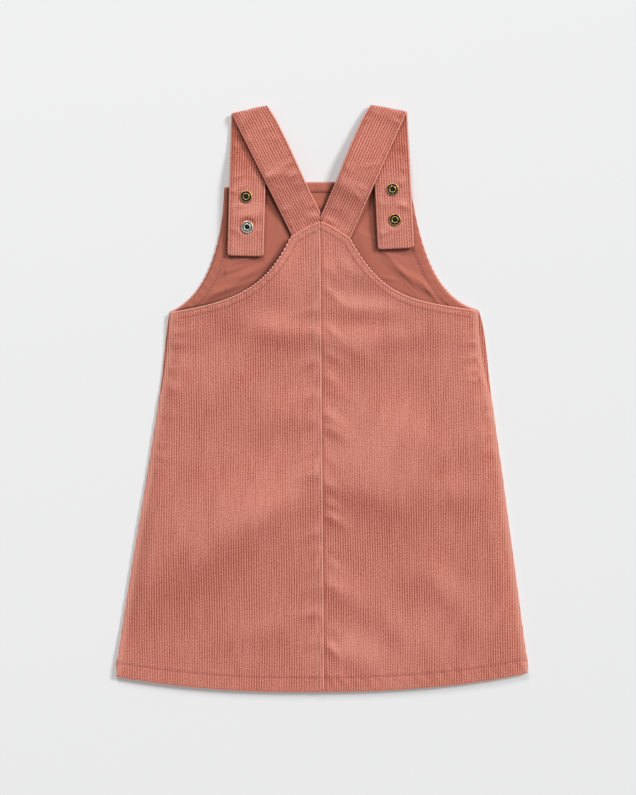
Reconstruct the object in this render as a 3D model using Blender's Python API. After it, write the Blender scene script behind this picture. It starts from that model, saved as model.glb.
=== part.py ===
# Child's corduroy pinafore dress, laid flat on its front with the head end at +Y.
#
# The cut pieces are the front (skirt and bib in one), the bib lining, two back
# panels joined by a centre seam, and two straps. Each strap is sewn under the back
# neckline, folds over at the shoulder and comes back down on the bib lining, where
# it carries two tack buttons. The upper button of each strap is fastened through
# the bib; the lower one is spare. Sizes are in millimetres until they reach a mesh.

from collections import namedtuple
import math

import bmesh
import bpy
from mathutils import Vector

MM = 0.001

# Cloth
CORD_THICK = 1.3
LINING_THICK = 1.0
STRAP_THICK = 2.4
LAYER_GAP = 0.35
SEAM_GAP = 0.3

# Skirt
HALF_HEM = 177.4
HEM_LOW = -251.92
HEM_SWEEP = 14.8
HEM_POWER = 2.4
HEM_TILT = 0.0085
HEM_DEPTH = 12.0
CORNER_TRIM = 0.7
SEAM_TOP = (-1.3, 151.0)
SEAM_FOOT = (2.1, -252.0)

# How the back panels ride over what lies under them
LINING_SLOPE = (44.0, 58.0)
HEM_BLEND = 1.5
HEM_SLOPE = 40.0
NECK_CENTRE = 140.0
NECK_REACH = (27.0, 54.0)
NECK_SQUASH = 0.72
NECK_RISE = 0.45
LOFT = 1.1
LOFT_SIDES = (95.0, 135.0)
LOFT_NECK = (30.0, 110.0)
LOFT_HEM = (10.0, 50.0)
SIDE_FLARE = 0.12

# Bib
BIB_CENTRE = (0.0, 186.0)
LINING_INSET = 1.2
LINING_FOOT = 60.0

# Straps
STRAP_WIDTH = 31.0
STRAP_FOLD_RADIUS = 1.6
STRAP_TUCK = 9.0
STRAP_STRIPS = 4
FRONT_STEPS = 9
BEND_STEPS = 6
BACK_STEPS = 10

# Buttons
HEAD_RADIUS = 7.5
HEAD_THICK = 2.6
SHANK_RADIUS = 2.6
TACK_RADIUS = 5.2
TACK_THICK = 0.8
HOLE_RADIUS = 3.1
HOLE_SIDES = 12
BUTTONHOLE_RUN = 12.0
HEAD_CLEAR = 0.3
RISE_SIDES = (9.0, 19.0)
RISE_FOOT = (9.5, 18.0)
DISH_RADIUS = 2.3
DISH_DEPTH = 0.45
STRAP_REST = 5.8
TURN_STEPS = 16
CUTTER_FOOT = -5.0
CUTTER_HEIGHT = 25.0

Curve = namedtuple("Curve", "start leave arrive end")
Fold = namedtuple("Fold", "x y angle length width height")
StrapPlan = namedtuple("StrapPlan", "end angle fold fold_angle length")
StrapLift = namedtuple("StrapLift", "run lift")
Button = namedtuple("Button", "name x y head fastened colour")

# Half outlines from the centre line outwards, one side positive.
BACK_EDGE = {
    "left": (
        Curve((0.0, 151.1), (4.6, 150.8), (15.0, 144.6), (25.6, 137.9)),
        Curve((25.6, 137.9), (49.0, 90.0), (79.1, 82.0), (130.0, 73.8)),
        Curve((130.0, 73.8), (131.4, 52.0), (133.6, 24.0), (140.2, -2.0)),
        Curve((140.2, -2.0), (150.2, -72.0), (167.2, -160.0), (HALF_HEM, -237.2)),
    ),
    "right": (
        Curve((0.0, 151.1), (4.6, 150.8), (15.0, 144.6), (25.9, 136.8)),
        Curve((25.9, 136.8), (51.8, 84.0), (83.0, 83.0), (134.2, 75.0)),
        Curve((134.2, 75.0), (135.4, 54.0), (138.0, 24.0), (145.8, -2.0)),
        Curve((145.8, -2.0), (155.5, -72.0), (167.3, -158.0), (HALF_HEM, -237.2)),
    ),
}

FRONT_EDGE = {
    "left": (
        Curve((83.4, 181.2), (84.1, 141.6), (95.0, 89.5), (130.4, 74.6)),
        Curve((130.4, 74.6), (134.8, 58.0), (135.4, 26.0), (140.4, -2.0)),
        Curve((140.4, -2.0), (150.4, -72.0), (167.4, -160.0), (HALF_HEM, -237.2)),
    ),
    "right": (
        Curve((76.1, 186.2), (83.3, 142.3), (92.4, 87.6), (134.8, 75.6)),
        Curve((134.8, 75.6), (141.6, 58.0), (141.8, 26.0), (146.0, -2.0)),
        Curve((146.0, -2.0), (155.7, -72.0), (167.5, -158.0), (HALF_HEM, -237.2)),
    ),
}

# Columns of the bib between its centre and its corner, closest at the buttons.
BIB_COLUMNS = {
    "left": (0.0, 15.0, 30.0, 46.0, 55.5, 74.5),
    "right": (15.0, 30.0, 41.0, 51.0, 69.5),
}
BIB_ROWS = (0.0, 17.5, 27.5)

# The largest soft folds of the back: ridges where the height is positive.
BACK_FOLDS = (
    Fold(x=48.0, y=8.0, angle=-8.0, length=46.0, width=17.0, height=0.9),
    Fold(x=45.0, y=-92.0, angle=-16.0, length=60.0, width=15.0, height=0.8),
    Fold(x=-78.0, y=-88.0, angle=32.0, length=78.0, width=17.0, height=0.9),
    Fold(x=-84.0, y=-148.0, angle=31.0, length=84.0, width=17.0, height=-0.5),
    Fold(x=-38.0, y=58.0, angle=-6.0, length=40.0, width=13.0, height=0.7),
    Fold(x=32.0, y=-205.0, angle=-20.0, length=40.0, width=14.0, height=0.7),
)

STRAPS = {
    "left": StrapPlan(end=(-65.6, 121.3), angle=88.5, fold=(-60.3, 245.5),
                      fold_angle=12.4, length=262.0),
    "right": StrapPlan(end=(63.5, 127.6), angle=92.9, fold=(56.8, 246.34),
                       fold_angle=-10.6, length=258.0),
}

# Height of a strap's underside over its run from the front end.
STRAP_LIFTS = (
    StrapLift(run=0.0, lift=5.3),
    StrapLift(run=14.0, lift=STRAP_REST),
    StrapLift(run=66.0, lift=STRAP_REST),
    StrapLift(run=98.0, lift=0.6),
    StrapLift(run=132.0, lift=0.4),
    StrapLift(run=160.0, lift=1.6),
    StrapLift(run=178.0, lift=5.2),
    StrapLift(run=194.0, lift=5.2),
    StrapLift(run=212.0, lift=2.0),
    StrapLift(run=230.0, lift=-0.15),
    StrapLift(run=300.0, lift=-0.15),
)

BRASS = (0.36, 0.26, 0.11)
NICKEL = (0.55, 0.53, 0.48)
BUTTONS = (
    Button("button_left_upper", -65.1, 172.5, 0.0, True, BRASS),
    Button("button_left_lower", -64.2, 146.4, 3.1, False, NICKEL),
    Button("button_right_upper", 60.4, 178.7, 0.0, True, BRASS),
    Button("button_right_lower", 62.4, 152.6, 3.1, False, BRASS),
)

CORD_PINK = (0.56, 0.20, 0.14)
LINING_PINK = (0.45, 0.15, 0.10)
CUTTER_GREY = (0.5, 0.5, 0.5)


# ---- curves and outlines ----

def smooth(value, low, high):
    """0 below low, 1 above high, with a soft ramp between."""
    t = min(1.0, max(0.0, (value - low) / (high - low)))
    return t * t * (3.0 - 2.0 * t)


def along(curve, t):
    """The point of a cubic curve at t."""
    weights = ((1 - t) ** 3, 3 * (1 - t) ** 2 * t, 3 * (1 - t) * t * t, t ** 3)
    x = sum(w * p[0] for w, p in zip(weights, curve))
    y = sum(w * p[1] for w, p in zip(weights, curve))
    return x, y


def edge_points(curves, counts):
    """Points along joined curves, counts steps for each, outer ends included."""
    points = [curves[0].start]
    for curve, count in zip(curves, counts):
        points += [along(curve, step / count) for step in range(1, count + 1)]
    return points


def hem_y(x):
    """Height of the swept hem line at x."""
    return HEM_LOW + HEM_SWEEP * (abs(x) / HALF_HEM) ** HEM_POWER + HEM_TILT * x


def lean(x, y):
    """Sideways lean of the centre seam, fading out to the side seams."""
    t = (SEAM_TOP[1] - y) / (SEAM_TOP[1] - SEAM_FOOT[1])
    shift = SEAM_TOP[0] + t * (SEAM_FOOT[0] - SEAM_TOP[0])
    return shift * max(0.0, 1.0 - abs(x) / HALF_HEM)


def trim_corner(points):
    """The outline with its last column kept just inside the hem corner."""
    before, last = points[-2], points[-1]
    x = last[0] - CORNER_TRIM
    t = (x - before[0]) / (last[0] - before[0])
    return points[:-1] + [(x, before[1] + t * (last[1] - before[1]))]


# ---- heights ----

def button_rise(x, y):
    """How far the bib is lifted by the heads of the fastened buttons."""
    rise = 0.0
    for button in BUTTONS:
        if button.fastened:
            across = 1.0 - smooth(abs(x - button.x), *RISE_SIDES)
            down = 1.0 - smooth(button.y - y, *RISE_FOOT)
            rise = max(rise, (HEAD_THICK + HEAD_CLEAR) * across * down)
    return rise


def hem_band(x, y):
    """1 where the turned-up hem doubles the cloth, 0 above it."""
    return 1.0 - smooth(y - hem_y(x), HEM_DEPTH - 0.5, HEM_DEPTH + HEM_BLEND)


def front_under(x, y):
    return button_rise(x, y)


def front_thick(x, y):
    return CORD_THICK * (1.0 + hem_band(x, y))


def lining_under(x, y):
    return button_rise(x, y) + CORD_THICK + LAYER_GAP


def fold_height(x, y):
    """Sum of the back's soft folds at a point."""
    total = 0.0
    for fold in BACK_FOLDS:
        turn = math.radians(fold.angle)
        run = (x - fold.x) * math.cos(turn) + (y - fold.y) * math.sin(turn)
        off = (y - fold.y) * math.cos(turn) - (x - fold.x) * math.sin(turn)
        total += fold.height * math.exp(-(run / fold.length) ** 2 - (off / fold.width) ** 2)
    return total


def back_under(x, y):
    """Underside of the back panels, over the front, the lining and the strap ends."""
    over_front = CORD_THICK + LAYER_GAP
    over_lining = (LINING_THICK + LAYER_GAP) * smooth(y, *LINING_SLOPE)
    above_hem = y - hem_y(x)
    over_hem = CORD_THICK * (1.0 - smooth(above_hem, HEM_DEPTH + HEM_BLEND, HEM_DEPTH + HEM_SLOPE))
    reach = math.hypot(x * NECK_SQUASH, NECK_CENTRE - min(y, NECK_CENTRE))
    over_straps = (STRAP_THICK + NECK_RISE) * (1.0 - smooth(reach, *NECK_REACH))
    inside = 1.0 - smooth(abs(x) + SIDE_FLARE * y, *LOFT_SIDES)
    loft = inside * (1.0 - smooth(y, *LOFT_NECK)) * smooth(above_hem, *LOFT_HEM)
    return over_front + over_lining + over_hem + over_straps + loft * (LOFT + fold_height(x, y))


def back_thick(x, y):
    return CORD_THICK


# ---- cloth solids ----

def cloth_material(name, colour):
    material = bpy.data.materials.new(name)
    material.use_nodes = True
    shader = material.node_tree.nodes["Principled BSDF"]
    shader.inputs["Base Color"].default_value = (*colour, 1.0)
    shader.inputs["Roughness"].default_value = 0.9
    shader.inputs["Metallic"].default_value = 0.0
    return material


def metal_material(name, colour):
    material = cloth_material(name, colour)
    shader = material.node_tree.nodes["Principled BSDF"]
    shader.inputs["Roughness"].default_value = 0.35
    shader.inputs["Metallic"].default_value = 1.0
    return material


def new_object(name, bm, material):
    """Put a finished bmesh in the scene, faces outward, in metres."""
    bmesh.ops.scale(bm, vec=(MM, MM, MM), verts=bm.verts)
    bmesh.ops.recalc_face_normals(bm, faces=bm.faces)
    mesh = bpy.data.meshes.new(name)
    bm.to_mesh(mesh)
    bm.free()
    mesh.materials.append(material)
    thing = bpy.data.objects.new(name, mesh)
    bpy.context.collection.objects.link(thing)
    return thing


def column_heights(foot, top, drops, rises, steps):
    """Heights of one column: rises up from its foot, even steps, drops below its top."""
    length = top - foot
    squeeze = min(1.0, 0.45 * length / max(drops[-1], rises[-1], 1.0))
    low = [foot + rise * squeeze for rise in rises]
    high = [top - drop * squeeze for drop in reversed(drops)]
    gap = (high[0] - low[-1]) / steps
    middle = [low[-1] + gap * step for step in range(1, steps)]
    return low + middle + high


def cloth_panel(name, columns, under, thick, material, drops, rises, steps):
    """A wall of cloth on a grid of columns, each column a tuple of x, foot and top."""
    bm = bmesh.new()
    rows = []
    for x, foot, top in columns:
        heights = column_heights(foot, top, drops, rises, steps)
        rows.append([bm.verts.new((x, y, 0.0)) for y in heights])
    for left, right in zip(rows, rows[1:]):
        for low in range(len(left) - 1):
            bm.faces.new((left[low], right[low], right[low + 1], left[low + 1]))
    lower = list(bm.verts)
    raised = bmesh.ops.extrude_face_region(bm, geom=list(bm.faces), use_keep_orig=True)
    upper = [item for item in raised["geom"] if isinstance(item, bmesh.types.BMVert)]
    for vert in lower:
        vert.co.z = under(vert.co.x, vert.co.y)
    for vert in upper:
        vert.co.z = under(vert.co.x, vert.co.y) + thick(vert.co.x, vert.co.y)
    for vert in bm.verts:
        vert.co.x += lean(vert.co.x, vert.co.y)
    return new_object(name, bm, material)


def back_columns(side):
    sign = -1.0 if side == "left" else 1.0
    edge = trim_corner(edge_points(BACK_EDGE[side], (3, 8, 3, 6)))
    columns = [(sign * max(x, SEAM_GAP / 2), hem_y(sign * x), top) for x, top in edge]
    return columns if side == "right" else columns[::-1]


def bib_top(x):
    """Height of the bib's top edge at x, between its two corners."""
    side = "left" if x < 0.0 else "right"
    corner = FRONT_EDGE[side][0].start
    t = abs(x) / corner[0]
    return BIB_CENTRE[1] + (corner[1] - BIB_CENTRE[1]) * t * t


def front_columns():
    """Columns of the front from the left hem corner to the right one."""
    columns = []
    for side, sign in (("left", -1.0), ("right", 1.0)):
        edge = trim_corner(edge_points(FRONT_EDGE[side], (8, 3, 5)))
        bib = [(sign * x, hem_y(sign * x), bib_top(sign * x)) for x in BIB_COLUMNS[side]]
        half = bib + [(sign * x, hem_y(sign * x), top) for x, top in edge]
        columns += half[::-1] if side == "left" else half
    return columns


def lining_columns():
    """Columns of the lining, just inside the bib's edges and down to its own foot."""
    columns = []
    for side, sign in (("left", -1.0), ("right", 1.0)):
        edge = edge_points(FRONT_EDGE[side][:1], (8,))
        bib = [(sign * x, LINING_FOOT, bib_top(sign * x) - LINING_INSET)
               for x in BIB_COLUMNS[side]]
        half = bib + [(sign * (x - LINING_INSET), LINING_FOOT, top - LINING_INSET)
                      for x, top in edge]
        columns += half[::-1] if side == "left" else half
    return columns


# ---- straps ----

def strap_lift(run):
    """Height of the strap's underside at a distance from its front end."""
    for low, high in zip(STRAP_LIFTS, STRAP_LIFTS[1:]):
        if run <= high.run:
            return low.lift + (high.lift - low.lift) * smooth(run, low.run, high.run)
    return STRAP_LIFTS[-1].lift


def strap_point(plan, run, across):
    """A point of the strap's middle surface, folded over at the shoulder."""
    angle = math.radians(plan.angle)
    x = plan.end[0] + run * math.cos(angle) + across * math.sin(angle)
    y = plan.end[1] + run * math.sin(angle) - across * math.cos(angle)
    turn = math.radians(plan.fold_angle)
    out = (-math.sin(turn), math.cos(turn))
    past = (x - plan.fold[0]) * out[0] + (y - plan.fold[1]) * out[1]
    arc = math.pi * STRAP_FOLD_RADIUS
    if past <= 0.0:
        place, rise = past, 0.0
    elif past < arc:
        place = STRAP_FOLD_RADIUS * math.sin(past / STRAP_FOLD_RADIUS)
        rise = STRAP_FOLD_RADIUS * (1.0 - math.cos(past / STRAP_FOLD_RADIUS))
    else:
        place, rise = arc - past, 2.0 * STRAP_FOLD_RADIUS
    x += (place - past) * out[0]
    y += (place - past) * out[1]
    return x, y, rise + strap_lift(run) + STRAP_THICK / 2.0


def strap_runs(plan, across):
    """Distances along the strap of its cross lines, close together round the fold."""
    angle = math.radians(plan.angle - plan.fold_angle)
    reach = math.dist(plan.end, plan.fold)
    fold = reach + across * math.cos(angle) / math.sin(angle)
    arc = math.pi * STRAP_FOLD_RADIUS / math.sin(angle)
    front = [fold * step / FRONT_STEPS for step in range(FRONT_STEPS)]
    bend = [fold + arc * step / BEND_STEPS for step in range(BEND_STEPS + 1)]
    start = fold + arc
    rest = plan.length - start
    back = [start + rest * step / BACK_STEPS for step in range(1, BACK_STEPS + 1)]
    return front + bend + back


def cut_away(bm, point, normal):
    """Remove the part of a surface on the side that the normal points to."""
    geometry = list(bm.verts) + list(bm.edges) + list(bm.faces)
    bmesh.ops.bisect_plane(bm, geom=geometry, plane_co=point, plane_no=normal,
                           clear_outer=True, dist=0.00001)


def strap(side, material):
    """One strap: a flat double strip, folded at the shoulder and cut at its foot."""
    plan = STRAPS[side]
    sign = -1.0 if side == "left" else 1.0
    bm = bmesh.new()
    lines = []
    for step in range(STRAP_STRIPS + 1):
        across = STRAP_WIDTH * (step / STRAP_STRIPS - 0.5)
        points = [strap_point(plan, run, across) for run in strap_runs(plan, across)]
        lines.append([bm.verts.new(point) for point in points])
    for left, right in zip(lines, lines[1:]):
        for low in range(len(left) - 1):
            bm.faces.new((left[low], right[low], right[low + 1], left[low + 1]))
    centre = SEAM_TOP[0] + sign * SEAM_GAP / 2
    cut_away(bm, Vector((centre, SEAM_TOP[1], 0.0)), Vector((-sign, 0.0, 0.0)))
    corner = BACK_EDGE[side][0].end
    foot = Vector((SEAM_TOP[0], SEAM_TOP[1] - STRAP_TUCK, 0.0))
    tuck = Vector((sign * corner[0] + SEAM_TOP[0], corner[1] - STRAP_TUCK, 0.0)) - foot
    cut_away(bm, foot, Vector((sign * tuck.y, -sign * tuck.x, 0.0)).normalized())
    thing = new_object("strap_" + side, bm, material)
    shell = thing.modifiers.new("thickness", "SOLIDIFY")
    shell.thickness = STRAP_THICK * MM
    shell.offset = 0.0
    for button in BUTTONS:
        if button.name.split("_")[1] == side:
            pierce(thing, hole_cutter("hole_" + button.name, button.x, button.y, 0.0))
    return thing


# ---- buttons and their holes ----

def hole_cutter(name, x, y, run):
    """A round hole, or with a run the slit of a buttonhole reaching down from it."""
    bm = bmesh.new()
    verts = []
    for step in range(HOLE_SIDES):
        turn = 2.0 * math.pi * (step + 0.5) / HOLE_SIDES
        low = -run if math.sin(turn) < 0.0 else 0.0
        place = (x + HOLE_RADIUS * math.cos(turn), y + HOLE_RADIUS * math.sin(turn) + low)
        verts.append(bm.verts.new((*place, CUTTER_FOOT)))
    base = bm.faces.new(verts)
    raised = bmesh.ops.extrude_face_region(bm, geom=[base])
    upper = [item for item in raised["geom"] if isinstance(item, bmesh.types.BMVert)]
    bmesh.ops.translate(bm, verts=upper, vec=(0.0, 0.0, CUTTER_HEIGHT))
    thing = new_object(name, bm, cloth_material(name, CUTTER_GREY))
    thing.hide_render = True
    thing.display_type = "WIRE"
    return thing


def pierce(thing, cutter):
    """Cut a hole through a cloth object."""
    cut = thing.modifiers.new(cutter.name, "BOOLEAN")
    cut.operation = "DIFFERENCE"
    cut.solver = "EXACT"
    cut.object = cutter


def tack_button(button):
    """A tack button turned about its shank: domed head below, tack back above."""
    base = button.head
    top = base + HEAD_THICK
    back = STRAP_REST + STRAP_THICK + HEAD_CLEAR
    face = back + TACK_THICK
    profile = (
        (0.0, base),
        (HEAD_RADIUS - 1.2, base),
        (HEAD_RADIUS, base + 0.9),
        (HEAD_RADIUS - 0.6, top - 0.4),
        (SHANK_RADIUS, top),
        (SHANK_RADIUS, back),
        (TACK_RADIUS - 0.3, back),
        (TACK_RADIUS, face - 0.3),
        (TACK_RADIUS - 0.8, face),
        (DISH_RADIUS, face - DISH_DEPTH + 0.1),
        (0.0, face - DISH_DEPTH),
    )
    bm = bmesh.new()
    verts = [bm.verts.new((radius, 0.0, z)) for radius, z in profile]
    edges = [bm.edges.new(pair) for pair in zip(verts, verts[1:])]
    bmesh.ops.spin(bm, geom=verts + edges, cent=(0.0, 0.0, 0.0), axis=(0.0, 0.0, 1.0),
                   angle=2.0 * math.pi, steps=TURN_STEPS, use_duplicate=False)
    bmesh.ops.remove_doubles(bm, verts=bm.verts, dist=0.001)
    bmesh.ops.translate(bm, verts=bm.verts, vec=(button.x, button.y, 0.0))
    thing = new_object(button.name, bm, metal_material(button.name, button.colour))
    thing.data.shade_smooth()
    thing.data.set_sharp_from_angle(angle=math.radians(35.0))
    return thing


# ---- assembly ----

def clear_scene():
    for thing in list(bpy.data.objects):
        bpy.data.objects.remove(thing, do_unlink=True)


def build_dress():
    clear_scene()
    for side in ("left", "right"):
        cloth_panel("back_" + side, back_columns(side), back_under, back_thick,
                    cloth_material("cord_back_" + side, CORD_PINK),
                    drops=(0.0, 12.0), rises=(0.0, HEM_DEPTH, 30.0), steps=15)
    front = cloth_panel("front_panel", front_columns(), front_under, front_thick,
                        cloth_material("cord_front", CORD_PINK),
                        drops=BIB_ROWS, rises=(0.0, HEM_DEPTH - 0.5, HEM_DEPTH + 1.5),
                        steps=13)
    lining = cloth_panel("bib_lining", lining_columns(), lining_under,
                         lambda x, y: LINING_THICK, cloth_material("lining", LINING_PINK),
                         drops=BIB_ROWS, rises=(0.0, 10.0), steps=6)
    for button in BUTTONS:
        tack_button(button)
        if button.fastened:
            slit = hole_cutter("slit_" + button.name, button.x, button.y, BUTTONHOLE_RUN)
            pierce(front, slit)
            pierce(lining, slit)
    for side in ("left", "right"):
        strap(side, cloth_material("cord_strap_" + side, CORD_PINK))


build_dress()
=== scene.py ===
# A child's corduroy pinafore dress laid flat on its front, seen from its back.
import math

import bpy
import numpy as np
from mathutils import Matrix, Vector


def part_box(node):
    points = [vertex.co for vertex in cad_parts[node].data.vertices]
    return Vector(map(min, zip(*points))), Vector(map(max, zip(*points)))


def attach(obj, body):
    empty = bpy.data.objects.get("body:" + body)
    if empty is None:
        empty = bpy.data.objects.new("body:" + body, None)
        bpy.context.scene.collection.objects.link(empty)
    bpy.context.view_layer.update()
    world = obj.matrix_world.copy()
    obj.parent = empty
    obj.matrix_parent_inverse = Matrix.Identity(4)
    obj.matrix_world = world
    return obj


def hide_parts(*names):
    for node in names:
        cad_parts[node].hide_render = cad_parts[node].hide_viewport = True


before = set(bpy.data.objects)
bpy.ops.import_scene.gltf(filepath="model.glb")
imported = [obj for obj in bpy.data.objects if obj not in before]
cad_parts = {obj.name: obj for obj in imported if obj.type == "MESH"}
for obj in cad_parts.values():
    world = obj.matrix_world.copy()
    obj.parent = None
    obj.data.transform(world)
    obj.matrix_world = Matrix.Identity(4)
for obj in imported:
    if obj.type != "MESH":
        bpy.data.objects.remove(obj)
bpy.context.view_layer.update()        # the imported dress: cloth solids and tack buttons

mm = 0.001
sideSign = {"left": -1.0, "right": 1.0}

# the cloth, in millimetres like every size below
cloth = {
    "wale": 2.12,             # one rib of the corduroy, 12 to the inch
    "cord": 1.3,              # thickness over the ribs
    "base": 0.98,             # thickness under the ribs
    "ribDepth": 0.25,
    "lining": 1.0,
    "strap": 2.4,
    "layerGap": 0.35,
    "seamGap": 0.15,          # half the gap at the centre seam
    "hem": 12.0,
}


def boxOf(node):
    low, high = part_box(node)
    return np.array(low) / mm, np.array(high) / mm


hemEase = 0.7                # the outline runs this far past the last column of the mesh
dress = {
    "halfHem": float(boxOf("front_panel")[1][0]) + hemEase,
    "hemLow": float(boxOf("front_panel")[0][1]),
    "hemSweep": 14.8,
    "hemPower": 2.4,
    "hemTilt": 0.0085,
    "neckTop": float(boxOf("back_left")[1][1]),
    "seamTop": -1.3,          # sideways place of the centre seam at the neck
    "seamFoot": 2.1,          # and at the hem
    "bibTop": 186.0,
    "buttonLift": 2.9,        # how high a fastened button's head lifts the bib
}

buttonPlaces = {}
for buttonNode in ("button_left_upper", "button_left_lower", "button_right_upper", "button_right_lower"):
    low, high = boxOf(buttonNode)
    buttonPlaces[buttonNode] = {"x": (low[0] + high[0]) / 2, "y": (low[1] + high[1]) / 2,
                                "low": low[2], "high": high[2]}

# half outlines from the middle outwards, each curve with its two ends and handles
backEdge = {
    "left": [
        dict(start=(0.0, 151.1), leave=(4.6, 150.8), arrive=(15.0, 144.6), end=(25.6, 137.9)),
        dict(start=(25.6, 137.9), leave=(49.0, 90.0), arrive=(79.1, 82.0), end=(130.0, 73.8)),
        dict(start=(130.0, 73.8), leave=(131.4, 52.0), arrive=(133.6, 24.0), end=(140.2, -2.0)),
        dict(start=(140.2, -2.0), leave=(150.2, -72.0), arrive=(167.2, -160.0), end=(177.4, -237.2)),
    ],
    "right": [
        dict(start=(0.0, 151.1), leave=(4.6, 150.8), arrive=(15.0, 144.6), end=(25.9, 136.8)),
        dict(start=(25.9, 136.8), leave=(51.8, 84.0), arrive=(83.0, 83.0), end=(134.2, 75.0)),
        dict(start=(134.2, 75.0), leave=(135.4, 54.0), arrive=(138.0, 24.0), end=(145.8, -2.0)),
        dict(start=(145.8, -2.0), leave=(155.5, -72.0), arrive=(167.3, -158.0), end=(177.4, -237.2)),
    ],
}
frontEdge = {
    "left": [
        dict(start=(83.4, 181.2), leave=(84.1, 141.6), arrive=(95.0, 89.5), end=(130.4, 74.6)),
        dict(start=(130.4, 74.6), leave=(134.8, 58.0), arrive=(135.4, 26.0), end=(140.4, -2.0)),
        dict(start=(140.4, -2.0), leave=(150.4, -72.0), arrive=(167.4, -160.0), end=(177.4, -237.2)),
    ],
    "right": [
        dict(start=(76.1, 186.2), leave=(83.3, 142.3), arrive=(92.4, 87.6), end=(134.8, 75.6)),
        dict(start=(134.8, 75.6), leave=(141.6, 58.0), arrive=(141.8, 26.0), end=(146.0, -2.0)),
        dict(start=(146.0, -2.0), leave=(155.7, -72.0), arrive=(167.5, -158.0), end=(177.4, -237.2)),
    ],
}


def smooth(value, low, high):
    # an eased step, 0 below low and 1 above high
    t = np.clip((value - low) / (high - low), 0.0, 1.0)
    return t * t * (3.0 - 2.0 * t)


def bell(value, middle, width):
    # a soft bump, 1 at its middle
    return np.exp(-((value - middle) / width) ** 2)


def curvePoints(curves, steps=60):
    t = np.linspace(0.0, 1.0, steps + 1)[:, None]
    parts = []
    for curve in curves:
        a, b, c, d = (np.array(curve[key]) for key in ("start", "leave", "arrive", "end"))
        line = (1 - t) ** 3 * a + 3 * (1 - t) ** 2 * t * b + 3 * (1 - t) * t * t * c + t ** 3 * d
        parts.append(line if not parts else line[1:])
    return np.concatenate(parts)


def nearest(x, y, line):
    # distance from each point to a line of points, and how far along it the nearest place is
    starts, ends = line[:-1], line[1:]
    run = np.concatenate([[0.0], np.cumsum(np.linalg.norm(ends - starts, axis=1))])
    best = np.full(np.shape(x), 1e9)
    where = np.zeros(np.shape(x))
    for k in range(len(starts)):
        dx, dy = ends[k] - starts[k]
        length = dx * dx + dy * dy + 1e-12
        t = np.clip(((x - starts[k][0]) * dx + (y - starts[k][1]) * dy) / length, 0.0, 1.0)
        gap = np.hypot(x - starts[k][0] - t * dx, y - starts[k][1] - t * dy)
        closer = gap < best
        best = np.where(closer, gap, best)
        where = np.where(closer, run[k] + t * (run[k + 1] - run[k]), where)
    return best, where


def hemY(x):
    # the hem's line, which curves up to the sides and is tipped a little
    curve = dress["hemSweep"] * (np.abs(x) / dress["halfHem"]) ** dress["hemPower"]
    return dress["hemLow"] + curve + dress["hemTilt"] * x


def lean(x, y):
    # the sideways shift that lets the centre seam lean from neck to hem
    t = (dress["neckTop"] - y) / (dress["neckTop"] - dress["hemLow"])
    shift = dress["seamTop"] + t * (dress["seamFoot"] - dress["seamTop"])
    return shift * np.clip(1.0 - np.abs(x) / dress["halfHem"], 0.0, 1.0)


def ribs(across):
    # height of the wales
    phase = (across / cloth["wale"]) % 1.0
    return cloth["ribDepth"] * (1.0 - np.abs(2.0 * phase - 1.0) ** 2.2)


def hemFoot(toHem, column):
    # the ribs stand out a little past the furrows along the hem
    return 0.25 * (1.0 - smooth(toHem, 0.0, 1.4)) * (0.6 - ribs(column) / cloth["ribDepth"])


def drift(x, y):
    # the wales wander a little in the laid cloth
    return 0.35 * np.sin(y / 31.0 + x / 47.0) + 0.2 * np.sin(y / 13.0 - x / 23.0 + 1.3)


def onlyPick(piece):
    bpy.ops.object.select_all(action="DESELECT")
    piece.select_set(True)
    bpy.context.view_layer.objects.active = piece


def applyAll(piece):
    onlyPick(piece)
    for modifier in list(piece.modifiers):
        bpy.ops.object.modifier_apply(modifier=modifier.name)


def gridPiece(name, across, up, place):
    # a grid primitive laid out by place(s, t), which gives x, y, z, pattern u, v and marks
    bpy.ops.object.select_all(action="DESELECT")
    bpy.ops.mesh.primitive_grid_add(x_subdivisions=across, y_subdivisions=up, size=2.0)
    piece = bpy.context.object
    piece.name = name
    mesh = piece.data
    spots = np.empty(len(mesh.vertices) * 3)
    mesh.vertices.foreach_get("co", spots)
    spots = spots.reshape(-1, 3)
    s = np.rint((spots[:, 0] + 1.0) / 2.0 * across).astype(int)
    t = np.rint((spots[:, 1] + 1.0) / 2.0 * up).astype(int)
    x, y, z, u, v, marks = place(s, t)
    mesh.vertices.foreach_set("co", (np.stack([x, y, z], 1) * mm).ravel())
    for key, values in marks.items():
        mark = mesh.attributes.new(key, "FLOAT", "POINT")
        mark.data.foreach_set("value", values.astype(np.float32))
    corner = np.empty(len(mesh.loops), dtype=np.int32)
    mesh.loops.foreach_get("vertex_index", corner)
    while mesh.uv_layers:
        mesh.uv_layers.remove(mesh.uv_layers[0])
    layer = mesh.uv_layers.new(name="cloth")
    layer.data.foreach_set("uv", (np.stack([u, v], 1)[corner] * 0.01).astype(np.float32).ravel())
    mesh.update()
    return piece


def shadeSoft(piece, angle=50.0):
    # edges gentler than the angle look round
    onlyPick(piece)
    bpy.ops.object.shade_smooth_by_angle(angle=math.radians(angle))


def thicken(piece, thickness):
    wall = piece.modifiers.new("wall", "SOLIDIFY")
    wall.thickness = thickness * mm
    wall.offset = -1.0
    applyAll(piece)


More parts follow.
